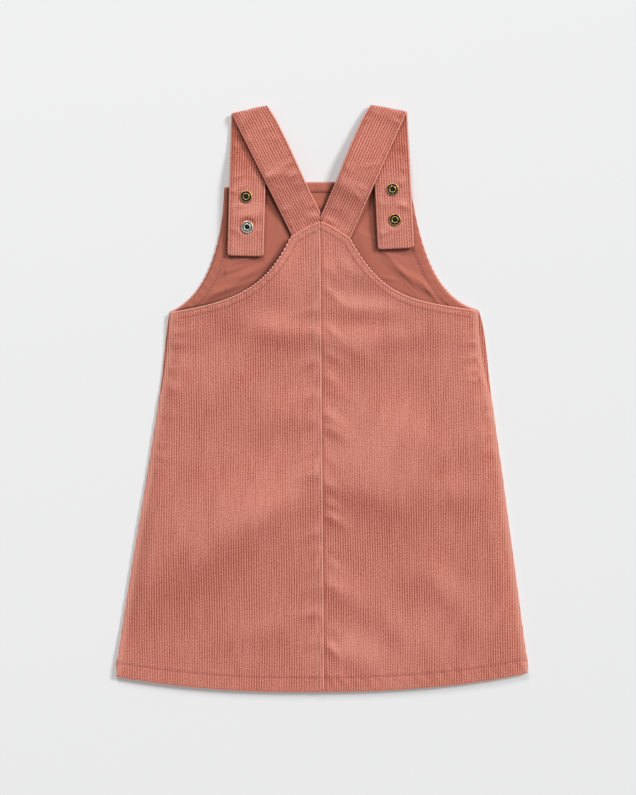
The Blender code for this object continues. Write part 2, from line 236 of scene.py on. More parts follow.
def columnRows(x, foot, top, rises, drops, middle):
    # heights of the rows in every column, close together at the hem and at the top edge
    length = top - foot
    steep = np.clip(np.hypot(1.0, np.gradient(top, x)), 1.0, 2.6)
    steep = np.convolve(np.pad(steep, 8, mode="edge"), np.ones(17) / 17.0, "valid")
    low = foot[:, None] + np.array(rises)[None, :] * np.minimum(1.0, 0.42 * length / rises[-1])[:, None]
    squeeze = np.minimum(steep, 0.42 * length / drops[-1])
    high = top[:, None] - np.array(drops[::-1])[None, :] * squeeze[:, None]
    steps = np.arange(1, middle)[None, :] / middle
    between = low[:, -1:] + (high[:, :1] - low[:, -1:]) * steps
    return np.concatenate([low, between, high], axis=1)


def buttonRise(x, y):
    # the bib and its lining rise over the heads of the fastened buttons
    rise = np.zeros(np.shape(x))
    for node, spot in buttonPlaces.items():
        if node.endswith("upper"):
            across = 1.0 - smooth(np.abs(x - spot["x"]), 8.4, 19.0)
            down = 1.0 - smooth(spot["y"] - y, 8.4, 18.0)
            rise = np.maximum(rise, dress["buttonLift"] * across * down)
    return rise


# creases of the back, each with its middle, direction, half length, reach on each side and height
backCreases = [
    dict(x=-38.0, y=58.0, angle=-9.0, length=32.0, up=12.0, down=12.0, height=1.5),
    dict(x=20.0, y=46.0, angle=-24.0, length=22.0, up=15.0, down=11.0, height=1.7),
    dict(x=58.0, y=51.0, angle=10.0, length=22.0, up=13.0, down=12.0, height=1.3),
    dict(x=36.0, y=76.0, angle=-4.0, length=27.0, up=8.0, down=10.0, height=1.3),
    dict(x=20.0, y=114.0, angle=-35.0, length=19.0, up=7.0, down=7.0, height=1.0),
    dict(x=44.0, y=-80.0, angle=-20.0, length=44.0, up=56.0, down=20.0, height=2.4),
    dict(x=66.0, y=-34.0, angle=-24.0, length=40.0, up=26.0, down=50.0, height=1.4),
    dict(x=112.0, y=-84.0, angle=-2.0, length=26.0, up=16.0, down=14.0, height=1.1),
    dict(x=-86.0, y=-116.0, angle=33.0, length=82.0, up=42.0, down=32.0, height=4.0),
    dict(x=-38.0, y=-96.0, angle=36.0, length=36.0, up=14.0, down=14.0, height=1.4),
    dict(x=-34.0, y=-16.0, angle=20.0, length=26.0, up=18.0, down=14.0, height=1.2),
    dict(x=-96.0, y=8.0, angle=50.0, length=40.0, up=18.0, down=18.0, height=0.9),
    dict(x=-60.0, y=-204.0, angle=14.0, length=44.0, up=14.0, down=13.0, height=0.8),
    dict(x=16.0, y=-168.0, angle=-38.0, length=26.0, up=13.0, down=11.0, height=1.1),
    dict(x=28.0, y=-227.0, angle=-30.0, length=26.0, up=13.0, down=9.0, height=1.3),
    dict(x=87.0, y=-150.0, angle=78.0, length=22.0, up=14.0, down=14.0, height=1.2),
    dict(x=104.0, y=-166.0, angle=-48.0, length=24.0, up=13.0, down=12.0, height=1.0),
    dict(x=126.0, y=-200.0, angle=84.0, length=26.0, up=13.0, down=13.0, height=1.2),
    dict(x=60.0, y=-196.0, angle=-40.0, length=30.0, up=14.0, down=14.0, height=0.9),
]


# patches of painted light and shade, paler or darker, each with its half sizes along and across
shadingPatches = [
    dict(x=8.0, y=104.0, angle=0.0, along=58.0, across=34.0, amount=0.6),
    dict(x=44.0, y=82.0, angle=-6.0, along=28.0, across=9.0, amount=0.7),
    dict(x=30.0, y=43.0, angle=0.0, along=40.0, across=12.0, amount=0.75),
    dict(x=126.0, y=12.0, angle=-74.0, along=60.0, across=18.0, amount=0.75),
    dict(x=36.0, y=-56.0, angle=0.0, along=34.0, across=26.0, amount=0.7),
    dict(x=-96.0, y=-72.0, angle=33.0, along=36.0, across=22.0, amount=-0.4),
    dict(x=-112.0, y=-160.0, angle=33.0, along=50.0, across=16.0, amount=-0.55),
    dict(x=-118.0, y=-196.0, angle=8.0, along=40.0, across=18.0, amount=-0.4),
    dict(x=-58.0, y=-204.0, angle=10.0, along=34.0, across=12.0, amount=-0.5),
    dict(x=34.0, y=-216.0, angle=-12.0, along=46.0, across=26.0, amount=0.85),
    dict(x=92.0, y=-172.0, angle=-60.0, along=24.0, across=16.0, amount=0.6),
    dict(x=92.0, y=-136.0, angle=-20.0, along=30.0, across=12.0, amount=-0.6),
    dict(x=110.0, y=-62.0, angle=-10.0, along=34.0, across=18.0, amount=-0.4),
    dict(x=104.0, y=-212.0, angle=-40.0, along=26.0, across=16.0, amount=0.5),
    dict(x=-112.0, y=36.0, angle=10.0, along=24.0, across=14.0, amount=0.5),
    dict(x=-122.0, y=-30.0, angle=60.0, along=50.0, across=10.0, amount=0.35),
    dict(x=6.0, y=42.0, angle=0.0, along=14.0, across=16.0, amount=0.5),
    dict(x=12.0, y=2.0, angle=0.0, along=14.0, across=10.0, amount=0.4),
]
# where the ribs fade without the cloth turning paler
calmPatches = [
    dict(x=-112.0, y=-216.0, angle=6.0, along=60.0, across=22.0, amount=3.4),
    dict(x=0.0, y=118.0, angle=0.0, along=26.0, across=24.0, amount=2.6),
    dict(x=46.0, y=-20.0, angle=0.0, along=36.0, across=30.0, amount=1.8),
    dict(x=62.0, y=-214.0, angle=0.0, along=40.0, across=22.0, amount=1.2),
]


def turned(x, y, spot):
    # how far each point is along and off the slanting line through a spot
    turn = math.radians(spot["angle"])
    run = (x - spot["x"]) * math.cos(turn) + (y - spot["y"]) * math.sin(turn)
    off = (y - spot["y"]) * math.cos(turn) - (x - spot["x"]) * math.sin(turn)
    return run, off


def patchwork(x, y, patches):
    total = np.zeros(np.shape(x))
    for patch in patches:
        run, off = turned(x, y, patch)
        total += patch["amount"] * np.exp(-(run / patch["along"]) ** 2 - (off / patch["across"]) ** 2)
    return total


def creaseHeight(x, y, creases):
    total = np.zeros(np.shape(x))
    for crease in creases:
        run, off = turned(x, y, crease)
        width = np.where(off > 0.0, crease["up"], crease["down"])
        total += crease["height"] * np.exp(-(run / crease["length"]) ** 2 - (off / width) ** 2)
    return total


def tilt(height, x, y):
    # how far the cloth leans towards the top, where the light comes from, for painted light and shade on the
    # folds
    step = 1.5
    return (height(x - 0.4 * step, y - 0.92 * step) - height(x + 0.4 * step, y + 0.92 * step)) / (2.0 * step)


threadSizes = {"length": 2.35, "width": 0.62, "height": 0.42, "pitch": 3.1}
backSizes = {
    "rises": [0.0, 0.3, 0.8, 1.5, 3.0, 6.0, 9.0, 11.2, 12.0, 12.8, 15.0],
    "drops": [0.0, 0.3, 0.7, 1.2, 1.7, 2.2, 2.9, 4.4, 5.7, 6.3, 6.8, 7.3, 8.0, 9.5, 12.0],
    "middle": 107,
    "edgeRows": (1.7, 6.8),       # stitch rows in from the neck and armhole
    "seamRows": (2.2, 4.9),       # stitch rows beside the centre seam
    "fellWidth": 6.9,             # raised fell of the centre seam
    "fellRise": 0.7,
    "seamDrop": 1.5,              # how far the fell's turned edge dives at the seam
    "seamPull": 0.14,             # how strongly the stitches draw in the cloth
    "edgePull": 0.14,
    "hemPull": 0.24,
    "edgeRise": 0.35,             # doubled cloth along the neck and the armholes
    "hemRise": 0.3,
    "sideRise": 0.25,
    "loft": 1.6,                  # air under the skirt
    "armholeLift": {"left": 4.6, "right": 2.4},
    "stitchSink": 0.3,
    "strapClear": 0.45,           # gap over the strap ends sewn under the neck
}
backLines = {side: {"top": curvePoints(backEdge[side][:2]), "side": curvePoints(backEdge[side][2:]),
                    "all": curvePoints(backEdge[side])} for side in sideSign}
# short pulls along the centre seam and the side seams, uneven in place, slant and height
puckerSeed = np.random.default_rng(12)
puckers = []
for side, least, most, highest in (("left", 8.0, 26.0, 0.9), ("right", 20.0, 44.0, 1.1)):
    y = -236.0
    while y < 126.0:
        puckers.append(dict(side=side, seam="centre", x=5.0, y=y + puckerSeed.uniform(-3.0, 3.0),
                            angle=-puckerSeed.uniform(least, most), length=puckerSeed.uniform(9.0, 19.0),
                            width=puckerSeed.uniform(2.6, 5.0),
                            height=puckerSeed.uniform(0.1, highest) ** 1.3))
        y += puckerSeed.uniform(7.0, 26.0)
for side in sideSign:
    for y in np.arange(66.0, -70.0, -10.5):
        puckers.append(dict(side=side, seam="side", x=0.0, y=y + puckerSeed.uniform(-3.0, 3.0),
                            angle=puckerSeed.uniform(-26.0, 8.0), length=puckerSeed.uniform(9.0, 17.0),
                            width=puckerSeed.uniform(2.4, 4.2),
                            height=puckerSeed.uniform(0.15, 0.75) * (1.0 if y > 0 else 0.6)))


def puckerHeight(side, c, y, sideX):
    # each pull starts at its seam and dies away into the cloth
    total = np.zeros(np.shape(c))
    inward = sideX - c
    for pucker in puckers:
        if pucker["side"] != side:
            continue
        if pucker["seam"] == "centre":
            run, off = turned(c, y, pucker)
            start = smooth(run, -7.0, 3.0)
        else:
            run, off = turned(inward, y, pucker)
            start = smooth(inward, 0.0, 6.0)
        fade = np.exp(-(np.maximum(run, 0.0) / pucker["length"]) ** 2) * start
        total += pucker["height"] * fade * bell(off, 0.0, pucker["width"])
    return total


def backHeight(side, c, y):
    # top of the back panel at pattern place c, y, with the marks that its finish reads: the groove under a
    # stitch row, with painted shade in it; the edge rim, a painted highlight; the fold crest, painted
    # lighter; slope and patches, painted light and shade
    sign = sideSign[side]
    lines = backLines[side]
    toTop, alongTop = nearest(c, y, lines["top"])
    toSide, _ = nearest(c, y, lines["side"])
    toHem = y - hemY(sign * c)
    sideX = np.interp(-y, -lines["side"][:, 1], lines["side"][:, 0])
    x = sign * c
    overLining = (cloth["lining"] + cloth["layerGap"]) * smooth(y, 32.0 + 6.0 * np.sin(x / 34.0), 58.0)
    overHem = cloth["cord"] * (1.0 - smooth(toHem, 13.0, 52.0))
    reach = np.hypot(x * 0.72, 140.0 - np.minimum(y, 140.0))
    overStraps = (cloth["strap"] + backSizes["strapClear"]) * (1.0 - smooth(reach, 27.0, 84.0))
    under = cloth["cord"] + cloth["layerGap"] + overLining + overHem + overStraps
    loft = smooth(toSide, 1.0, 16.0) * smooth(toHem, 6.0, 50.0)
    nearSide = smooth(toHem, 4.0, 16.0) * smooth(toTop, 2.0, 12.0)

    def relief(px, py):
        folds = creaseHeight(px, py, backCreases) * (1.0 - smooth(py, 96.0, 130.0))
        return folds * loft + puckerHeight(side, sign * px, py, sideX) * nearSide

    z = under + relief(x, y) + loft * backSizes["loft"] * (1.0 - smooth(y, 30.0, 110.0))
    z += backSizes["sideRise"] * smooth(toSide, 0.0, 6.0)
    lift = backSizes["armholeLift"][side]
    z += lift * (1.0 - smooth(toTop, 0.0, 34.0)) * smooth(c, 16.0, 44.0) * smooth(toSide, 8.0, 60.0)
    # painted light and shade: paler where the folds lean towards the light at the top, darker where they lean
    # away
    slopeShade = tilt(relief, x, y)
    # doubled edges: hem, neck and armhole, with the pull of their stitches
    z += backSizes["edgeRise"] * (1.0 - smooth(toTop, 7.6, 9.4))
    z += backSizes["hemRise"] * (1.0 - smooth(toHem, 12.2, 14.0))
    ripple = np.sin(alongTop / 1.15 + 1.5 * np.sin(alongTop / 17.0))
    z += backSizes["edgePull"] * ripple * bell(toTop, 4.4, 2.4)
    pull = backSizes["hemPull"] * (1.0 + 0.5 * np.sin(c / 7.3) * np.sin(c / 17.0 + sign))
    z += pull * np.sin((c + 0.7 * toHem) / 1.9 + 2.6 * np.sin(c / 23.0)) * bell(toHem, 8.0, 5.5)
    grooveAndShade = np.zeros(np.shape(c))
    paintedShading = patchwork(x, y, shadingPatches)
    # the stitch rows sink, and their dimples are darkened with painted shade where the pile is pressed down
    for row in backSizes["edgeRows"]:
        dots = 0.7 + 0.3 * np.cos(2.0 * math.pi * alongTop / threadSizes["pitch"])
        grooveAndShade = np.maximum(grooveAndShade, 1.1 * dots * bell(toTop, row, 0.6) * smooth(toSide, 4.0, 8.0))
    grooveAndShade = np.maximum(grooveAndShade, 0.8 * bell(toHem, cloth["hem"], 0.6))
    if side == "left":
        fell = 1.0 - smooth(c, backSizes["fellWidth"] - 0.9, backSizes["fellWidth"] + 0.7)
        z += backSizes["fellRise"] * fell - backSizes["seamDrop"] * (1.0 - smooth(c, 0.0, 0.52))
        # painted light along the raised fell
        paintedShading = paintedShading + 0.7 * fell
        z += backSizes["seamPull"] * np.sin(y / 1.25 + 1.3 * np.sin(y / 19.0)) * bell(c, 3.6, 2.4)
        for k, row in enumerate(backSizes["seamRows"]):
            dots = 0.62 + 0.38 * np.cos(2.0 * math.pi * (y / threadSizes["pitch"] + 0.45 * k))
            grooveAndShade = np.maximum(grooveAndShade, 1.15 * dots * bell(c, row, 0.5))
    else:
        z -= 0.6 * (1.0 - smooth(c, -0.2, 1.6))
        # painted shade in the seam's ditch
        grooveAndShade = np.maximum(grooveAndShade, 0.25 * (1.0 - smooth(c, 0.6, 2.0)))
    z -= backSizes["stitchSink"] * grooveAndShade
    # turned edges
    turnedTop = 1.0 - smooth(toTop, 0.0, 1.1)
    turnedHem = 1.0 - smooth(toHem, 0.0, 1.0)
    turnedSide = 1.0 - smooth(toSide, 0.0, 2.2)
    z -= 0.45 * np.maximum(turnedTop, turnedHem) ** 1.6 + 0.4 * turnedSide ** 1.5
    flat = 1.0 - 0.55 * grooveAndShade
    z += cloth["base"] + ribs(c) * flat
    # painted highlight along the turned edges and, on the left, along the centre seam's ridge
    rimHighlight = np.maximum(1.0 - smooth(toTop, 0.4, 1.9), 0.7 * (1.0 - smooth(toSide, 1.0, 7.0)))
    rimHighlight = np.maximum(rimHighlight, 0.6 * (1.0 - smooth(toHem, 0.3, 1.6)))
    if side == "left":
        ridgeLight = 0.9 + 0.3 * np.sin(y / 9.0) * np.sin(y / 23.0 + 1.0)
        rimHighlight = np.maximum(rimHighlight, 1.25 * ridgeLight * bell(c, 0.6, 0.8) + 0.55 * bell(c, 6.6, 0.7))
    # the faced band at the neck loses its ribs, and it and the fold tops are painted lighter
    facing = (1.0 - smooth(toTop, 7.0, 14.0)) * (1.0 - smooth(c, 26.0, 60.0))
    facing += 0.5 * (1.0 - smooth(toTop, 6.0, 9.0))
    crestLight = relief(x, y) + 3.2 * facing + patchwork(x, y, calmPatches)
    return z, {"grooveAndShade": grooveAndShade, "rimHighlight": rimHighlight, "crestLight": crestLight, "slopeShade": slopeShade, "paintedShading": paintedShading}


def backPoint(side, c, y):
    # where the cloth's top lies, in space
    sign = sideSign[side]
    z, marks = backHeight(side, c, y)
    inner = smooth(c, 2.0, 20.0) * smooth(dress["halfHem"] - c, 4.0, 40.0)
    return sign * c + lean(c, y) + drift(c, y) * inner, y, z, marks


def ribEnds(c, line, low, high):
    # each rib is cut square, so a slanting edge is notched
    middle = (np.floor(c / cloth["wale"]) + 0.5) * cloth["wale"]
    step = np.interp(middle, line[:, 0], line[:, 1]) - np.interp(c, line[:, 0], line[:, 1])
    ends = 0.75 * np.clip(step, -1.3, 1.3) + 0.22 * (ribs(c) / cloth["ribDepth"] - 0.6)
    return ends * smooth(c, low - 0.01, low) * (1.0 - smooth(c, high - 3.0, high))


def backPlace(side):
    sign = sideSign[side]
    lines = backLines[side]
    step = cloth["wale"] / 4.0
    across = int((dress["halfHem"] - hemEase) / step)
    c = np.arange(across + 1) * step
    c[0] = 0.04
    top = np.interp(c, lines["all"][:, 0], lines["all"][:, 1])
    rows = columnRows(c, hemY(sign * c), top, backSizes["rises"], backSizes["drops"], backSizes["middle"])
    if side == "left":
        c, rows = c[::-1], rows[::-1]

    def place(s, t):
        column, y = c[s], rows[s, t]
        x, y, z, marks = backPoint(side, column, y)
        edge = 1.0 - smooth(rows[s, -1] - y, 0.0, 2.4)
        foot = hemFoot(y - rows[s, 0], column)
        ends = ribEnds(column, lines["all"], 0.0, lines["side"][0][0])
        return x, y + ends * edge + foot, z, sign * column, y, marks
    return across, rows.shape[1] - 1, place


def buildBack(side):
    across, up, place = backPlace(side)
    piece = gridPiece("backPanel_" + side, across, up, place)
    thicken(piece, cloth["base"])
    shadeSoft(piece)
    return piece


backPanels = {side: buildBack(side) for side in sideSign}
print("back panels", [len(p.data.polygons) for p in backPanels.values()])


frontSizes = {
    "rises": [0.0, 0.4, 1.2, 6.0, 11.4, 12.6],
    "drops": [0.0, 0.3, 0.8, 1.4, 2.4, 5.0, 8.0, 11.0, 14.0, 17.0, 20.0, 23.0, 28.0],
    "middle": 48,
}
frontLines = {side: {"top": curvePoints(frontEdge[side][:1]), "all": curvePoints(frontEdge[side]),
                     "side": curvePoints(frontEdge[side][1:])} for side in sideSign}


def bibTopY(side, c):
    # the bib's top edge, which droops a little to its corner
    corner = frontEdge[side][0]["start"]
    return dress["bibTop"] + (corner[1] - dress["bibTop"]) * (c / corner[0]) ** 2


def frontTop(side, c):
    corner = frontEdge[side][0]["start"]
    line = frontLines[side]["all"]
    return np.where(c <= corner[0], bibTopY(side, np.minimum(c, corner[0])),
                    np.interp(c, line[:, 0], line[:, 1]))


def frontPlace():
    step = cloth["wale"] / 4.0
    half = int((dress["halfHem"] - hemEase) / step)
    x = np.arange(-half, half + 1) * step
    top = np.where(x < 0.0, frontTop("left", -x), frontTop("right", x))
    rows = columnRows(x, hemY(x), top, frontSizes["rises"], frontSizes["drops"], frontSizes["middle"])

    def place(s, t):
        column, y = x[s], rows[s, t]
        toTop = top[s] - y
        toHem = y - hemY(column)
        hemBand = 1.0 - smooth(toHem, 11.6, 13.4)
        # the ribs lie face down, so the top is their wrong side: flat cloth
        z = buttonRise(column, y) + cloth["cord"] * (1.0 + hemBand)
        z -= 0.4 * (1.0 - smooth(toTop, 0.0, 1.2)) * smooth(-np.abs(column), -134.0, -128.0)
        z -= 0.35 * (1.0 - smooth(toHem, 0.0, 1.1))
        # painted highlight along the bib's top edge
        rimHighlight = 1.0 - smooth(toTop, 0.6, 2.4)
        marks = {key: np.zeros(len(s)) for key in ("grooveAndShade", "crestLight", "slopeShade", "paintedShading")}
        marks["rimHighlight"] = rimHighlight
        edge = 1.0 - smooth(toTop, 0.0, 2.4)
        foot = hemFoot(y - rows[s, 0], column)
        ends = np.where(column < 0.0, ribEnds(-column, frontLines["left"]["all"], 84.0, 130.0),
                        ribEnds(column, frontLines["right"]["all"], 77.0, 135.0))
        return column + lean(column, y), y + 1.2 * ends * edge + foot, z, column, y, marks
    return 2 * half, rows.shape[1] - 1, place


def buildFront():
    across, up, place = frontPlace()
    piece = gridPiece("frontPanel", across, up, place)
    thicken(piece, cloth["cord"])
    # the face that lies on the floor carries the ribs
    mesh = piece.data
    spots = np.empty(len(mesh.vertices) * 3)
    mesh.vertices.foreach_get("co", spots)
    spots = spots.reshape(-1, 3) / mm
    half = len(spots) // 2
    x, y = spots[half:, 0], spots[half:, 1]
    column = x - lean(x, y)
    spots[half:, 2] = buttonRise(x, y) + (cloth["ribDepth"] - ribs(column)) * 0.8
    mesh.vertices.foreach_set("co", (spots * mm).ravel())
    mesh.update()
    shadeSoft(piece)
    return piece


frontPanel = buildFront()
print("front panel", len(frontPanel.data.polygons))


strapSizes = {
    "width": 31.0, "foldRadius": 1.6, "tuck": 9.0, "edgeRow": 2.3, "corner": 3.0,
    "faceColumns": 58, "frontRows": 74, "bendRows": 44, "backRows": 76,
    "body": 0.5 * cloth["strap"] - cloth["ribDepth"],      # half thickness under the ribs
}
# each strap runs from its end on the bib to a slanting fold at the shoulder and back to the neck;
# ease is how much wider its inner edge lies after the fold
strapPlans = {
    "left": dict(end=(-65.6, 121.3), angle=88.5, fold=(-60.3, 245.5), foldAngle=12.4, length=262.0,
                 inner=1.0, ease=1.3),
    "right": dict(end=(63.5, 127.6), angle=92.9, fold=(56.8, 246.34), foldAngle=-10.6, length=258.0,
                  inner=-1.0, ease=1.8),
}
for plan in strapPlans.values():
    plan["bendRun"] = math.dist(plan["end"], plan["fold"]) + 2.5
strapRest = 5.8
# height of the strap's lower skin along its run
strapLifts = [
    dict(run=0.0, lift=4.2), dict(run=14.0, lift=strapRest), dict(run=66.0, lift=strapRest),
    dict(run=98.0, lift=0.6), dict(run=130.0, lift=0.5), dict(run=150.0, lift=2.0),
    dict(run=176.0, lift=5.2), dict(run=194.0, lift=5.2), dict(run=212.0, lift=2.2),
    dict(run=232.0, lift=-0.1), dict(run=300.0, lift=-0.15),
]


def strapLift(run):
    # straight runs between the places of the table, their corners rounded over 20 mm
    places = [step["run"] for step in strapLifts]
    lifts = [step["lift"] for step in strapLifts]
    return sum(np.interp(run + shift, places, lifts) for shift in (-10.0, -6.0, -2.0, 2.0, 6.0, 10.0)) / 6.0


def strapMiddle(plan, run, across):
    # a point of the strap's middle surface, folded over at the shoulder
    angle = math.radians(plan["angle"])
    eased = smooth(run, plan["bendRun"] + 2.0, plan["bendRun"] + 20.0)
    eased = eased * (1.0 - smooth(run, plan["length"] - 100.0, plan["length"] - 50.0))
    inner = np.clip(across / plan["inner"] / (0.5 * strapSizes["width"]), 0.0, 1.0)
    across = across + plan["inner"] * plan["ease"] * eased * inner
    x = plan["end"][0] + run * math.cos(angle) + across * math.sin(angle)
    y = plan["end"][1] + run * math.sin(angle) - across * math.cos(angle)
    turn = math.radians(plan["foldAngle"])
    outX, outY = -math.sin(turn), math.cos(turn)
    past = (x - plan["fold"][0]) * outX + (y - plan["fold"][1]) * outY
    radius = strapSizes["foldRadius"]
    arc = math.pi * radius
    bend = np.clip(past, 0.0, arc) / radius
    place = np.where(past <= 0.0, past, np.where(past < arc, radius * np.sin(bend), arc - past))
    z = radius * (1.0 - np.cos(bend)) + strapLift(run) + cloth["strap"] / 2.0
    return np.stack([x + (place - past) * outX, y + (place - past) * outY, z], -1)


liningSizes = {
    "inset": 1.3, "foot": 60.0, "across": 380, "rise": [0.0, 8.0],
    "drops": [0.0, 0.3, 0.8, 1.6, 3.0, 4.6, 6.2, 6.9, 7.5, 8.4, 10.0, 13.0, 16.0, 19.0, 22.0, 25.0, 28.0],
    "middle": 100, "band": 7.3,
}
liningCreases = [
    dict(x=-78.0, y=98.0, angle=28.0, length=24.0, up=3.4, down=3.0, height=1.1),
    dict(x=-88.0, y=90.0, angle=22.0, length=20.0, up=3.0, down=2.6, height=0.9),
    dict(x=-60.0, y=108.0, angle=34.0, length=22.0, up=4.0, down=3.4, height=0.8),
    dict(x=-96.0, y=104.0, angle=48.0, length=14.0, up=3.0, down=3.0, height=0.6),
    dict(x=84.0, y=98.0, angle=-34.0, length=24.0, up=3.6, down=3.0, height=0.8),
    dict(x=96.0, y=92.0, angle=-28.0, length=20.0, up=3.0, down=3.0, height=0.7),
    dict(x=66.0, y=112.0, angle=-42.0, length=20.0, up=4.4, down=3.6, height=0.6),
    dict(x=8.0, y=169.0, angle=26.0, length=12.0, up=3.2, down=2.4, height=1.6),
    dict(x=-12.0, y=167.0, angle=-22.0, length=11.0, up=2.8, down=2.4, height=1.2),
    dict(x=2.0, y=175.5, angle=4.0, length=14.0, up=2.0, down=2.0, height=0.6),
    dict(x=-34.0, y=150.0, angle=70.0, length=24.0, up=5.0, down=5.0, height=0.6),
    dict(x=34.0, y=140.0, angle=-66.0, length=24.0, up=5.0, down=5.0, height=0.6),
]
# fine wrinkles scattered in both armholes
wrinkleSeed = np.random.default_rng(5)
for side, sign in sideSign.items():
    for _ in range(26):
        across = wrinkleSeed.uniform(46.0, 112.0)
        least, most, strength = (6.0, 26.0, 1.5) if side == "left" else (12.0, 52.0, 1.0)
        liningCreases.append(dict(x=sign * across, y=wrinkleSeed.uniform(84.0, 168.0 - 0.6 * across),
                                  angle=-sign * wrinkleSeed.uniform(least, most),
                                  length=wrinkleSeed.uniform(7.0, 20.0), up=wrinkleSeed.uniform(1.3, 3.0),
                                  down=wrinkleSeed.uniform(1.2, 2.4),
                                  height=wrinkleSeed.uniform(0.2, 0.55) * strength))
liningLine = {side: frontLines[side]["top"] - liningSizes["inset"] for side in sideSign}


def liningTop(side, c):
    line = liningLine[side]
    return np.where(c <= line[0][0], bibTopY(side, c) - liningSizes["inset"],
                    np.interp(c, line[:, 0], line[:, 1]))


def liningEdge(x, y):
    # distance from the lining's bib edge, top and armholes together
    best = np.full(np.shape(x), 1e9)
    where = np.zeros(np.shape(x))
    for side, sign in sideSign.items():
        c = np.linspace(0.0, liningLine[side][0][0], 24)
        line = np.concatenate([np.stack([c, liningTop(side, c)], 1), liningLine[side][1:]])
        gap, run = nearest(sign * x, y, line)
        mine = (sign * x >= 0.0) & (gap < best)
        best = np.where(mine, gap, best)
        where = np.where(mine, run, where)
    return best, where


def liningHeight(x, y):
    # top of the lining, with its wrinkles, its stitched band and the marks that its finish reads
    toEdge, run = liningEdge(x, y)
    z = buttonRise(x, y) + cloth["cord"] + cloth["layerGap"] + cloth["lining"]
    z += creaseHeight(x, y, liningCreases) * smooth(toEdge, 6.0, 12.0)
    z += 0.22 * np.sin(run / 1.3 + 1.6 * np.sin(run / 15.0)) * bell(toEdge, 4.0, 2.6)
    top = smooth(y, 168.0, 176.0)
    z += (0.45 + 0.5 * top) * (1.0 - smooth(toEdge, 7.2, 8.4))
    # the band's stitch groove with painted shade, and more painted shade just under it at the top
    grooveAndShade = bell(toEdge, liningSizes["band"], 0.6) + 0.5 * top * bell(toEdge, liningSizes["band"] + 0.8, 0.9)
    z -= 0.3 * grooveAndShade + 0.35 * (1.0 - smooth(toEdge, 0.0, 1.0)) ** 1.6
    return z, {"grooveAndShade": grooveAndShade, "shade": liningShade(x, y)}


def liningShade(x, y):
    # the lining is darkened with painted shadow where it passes under the edges of the back and the straps
    shade = np.zeros(np.shape(x))
    for side, dark, wide in (("left", 0.95, 1.45), ("right", 0.3, 1.3)):
        sign = sideSign[side]
        gap, _ = nearest(sign * x, y, backLines[side]["top"])
        outside = y > np.interp(sign * x, backLines[side]["top"][:, 0], backLines[side]["top"][:, 1])
        under = np.where(outside, dark * bell(gap, 0.0, wide) + 0.14 * dark * bell(gap, 0.0, 7.0), dark)
        shade = np.maximum(shade, under * (sign * x >= 0.0))
    half = 0.5 * strapSizes["width"]
    for plan in strapPlans.values():
        runs = np.arange(2.0, plan["length"], 4.0)
        edge = strapMiddle(plan, runs, np.full(len(runs), -half))[:, :2]
        gap, _ = nearest(x, y, edge)
        shade = np.maximum(shade, 0.78 * bell(gap, 0.0, 1.35) + 0.1 * bell(gap, 0.0, 4.5))
        acrossEnd = np.linspace(-half + 1.0, half - 1.0, 12)
        end = strapMiddle(plan, np.full(12, 0.5), acrossEnd)[:, :2]
        gap, _ = nearest(x, y, end)
        shade = np.maximum(shade, 0.7 * bell(gap, 0.0, 1.1))
    # painted shadow in the V under the neck
    apex = np.hypot(x - dress["seamTop"], (y - dress["neckTop"]) * 0.62)
    shade = np.maximum(shade, 1.0 - smooth(apex, 4.0, 11.0))
    # and a little painted shade in the hollow below the left strap
    shade = shade + 0.09 * np.exp(-((x + 72.0) / 16.0) ** 2 - ((y - 100.0) / 10.0) ** 2)
    return np.clip(shade, 0.0, 1.0)


def liningPlace():
    left = liningLine["left"][-1][0]
    right = liningLine["right"][-1][0]
    x = np.linspace(-left, right, liningSizes["across"] + 1)
    top = np.where(x < 0.0, liningTop("left", -x), liningTop("right", x))
    foot = np.full(len(x), liningSizes["foot"])
    rows = columnRows(x, foot, top, liningSizes["rise"], liningSizes["drops"], liningSizes["middle"])

    def place(s, t):
        column, y = x[s], rows[s, t]
        z, marks = liningHeight(column, y)
        return column + lean(column, y), y, z, column, y, marks
    return liningSizes["across"], rows.shape[1] - 1, place


def buildLining():
    across, up, place = liningPlace()
    piece = gridPiece("bibLining", across, up, place)
    thicken(piece, cloth["lining"] * 0.8)
    shadeSoft(piece)
    return piece


bibLining = buildLining()
print("lining", len(bibLining.data.polygons))


strapSeed = np.random.default_rng(21)
for plan in strapPlans.values():
    # short pulls from the edge stitches and soft cross wrinkles
    plan["creases"] = []
    for _ in range(44):
        edge = strapSeed.choice([-1.0, 1.0])
        plan["creases"].append(dict(x=strapSeed.uniform(4.0, 246.0), y=edge * strapSeed.uniform(5.0, 15.0),
                                    angle=90.0 + edge * strapSeed.uniform(-38.0, 38.0),
                                    length=strapSeed.uniform(4.0, 9.0), up=strapSeed.uniform(1.4, 3.2),
                                    down=strapSeed.uniform(1.4, 3.2), height=strapSeed.uniform(0.15, 0.45)))
    for _ in range(9):
        plan["creases"].append(dict(x=strapSeed.uniform(10.0, 240.0), y=strapSeed.uniform(-8.0, 8.0),
                                    angle=90.0 + strapSeed.uniform(-30.0, 30.0),
                                    length=strapSeed.uniform(10.0, 18.0), up=strapSeed.uniform(4.0, 8.0),
                                    down=strapSeed.uniform(4.0, 8.0), height=strapSeed.uniform(0.2, 0.6)))


def upper(plan, run):
    # which skin faces up: the second before the fold, the first after it
    return np.where(run < plan["bendRun"], -1.0, 1.0)


def strapRelief(plan, run, across):
    # small wrinkles, left out at the end, at the edges and under the tack backs
    ends = smooth(run, 2.0, 8.0)
    angle = math.radians(plan["angle"])
    for spot in buttonPlaces.values():
        dx, dy = spot["x"] - plan["end"][0], spot["y"] - plan["end"][1]
        away = np.hypot(run - dx * math.cos(angle) - dy * math.sin(angle),
                        across - dx * math.sin(angle) + dy * math.cos(angle))
        ends = ends * smooth(away, 5.8, 9.0)
    return creaseHeight(run, across, plan["creases"]) * ends * smooth(15.5 - np.abs(across), 0.2, 3.0)


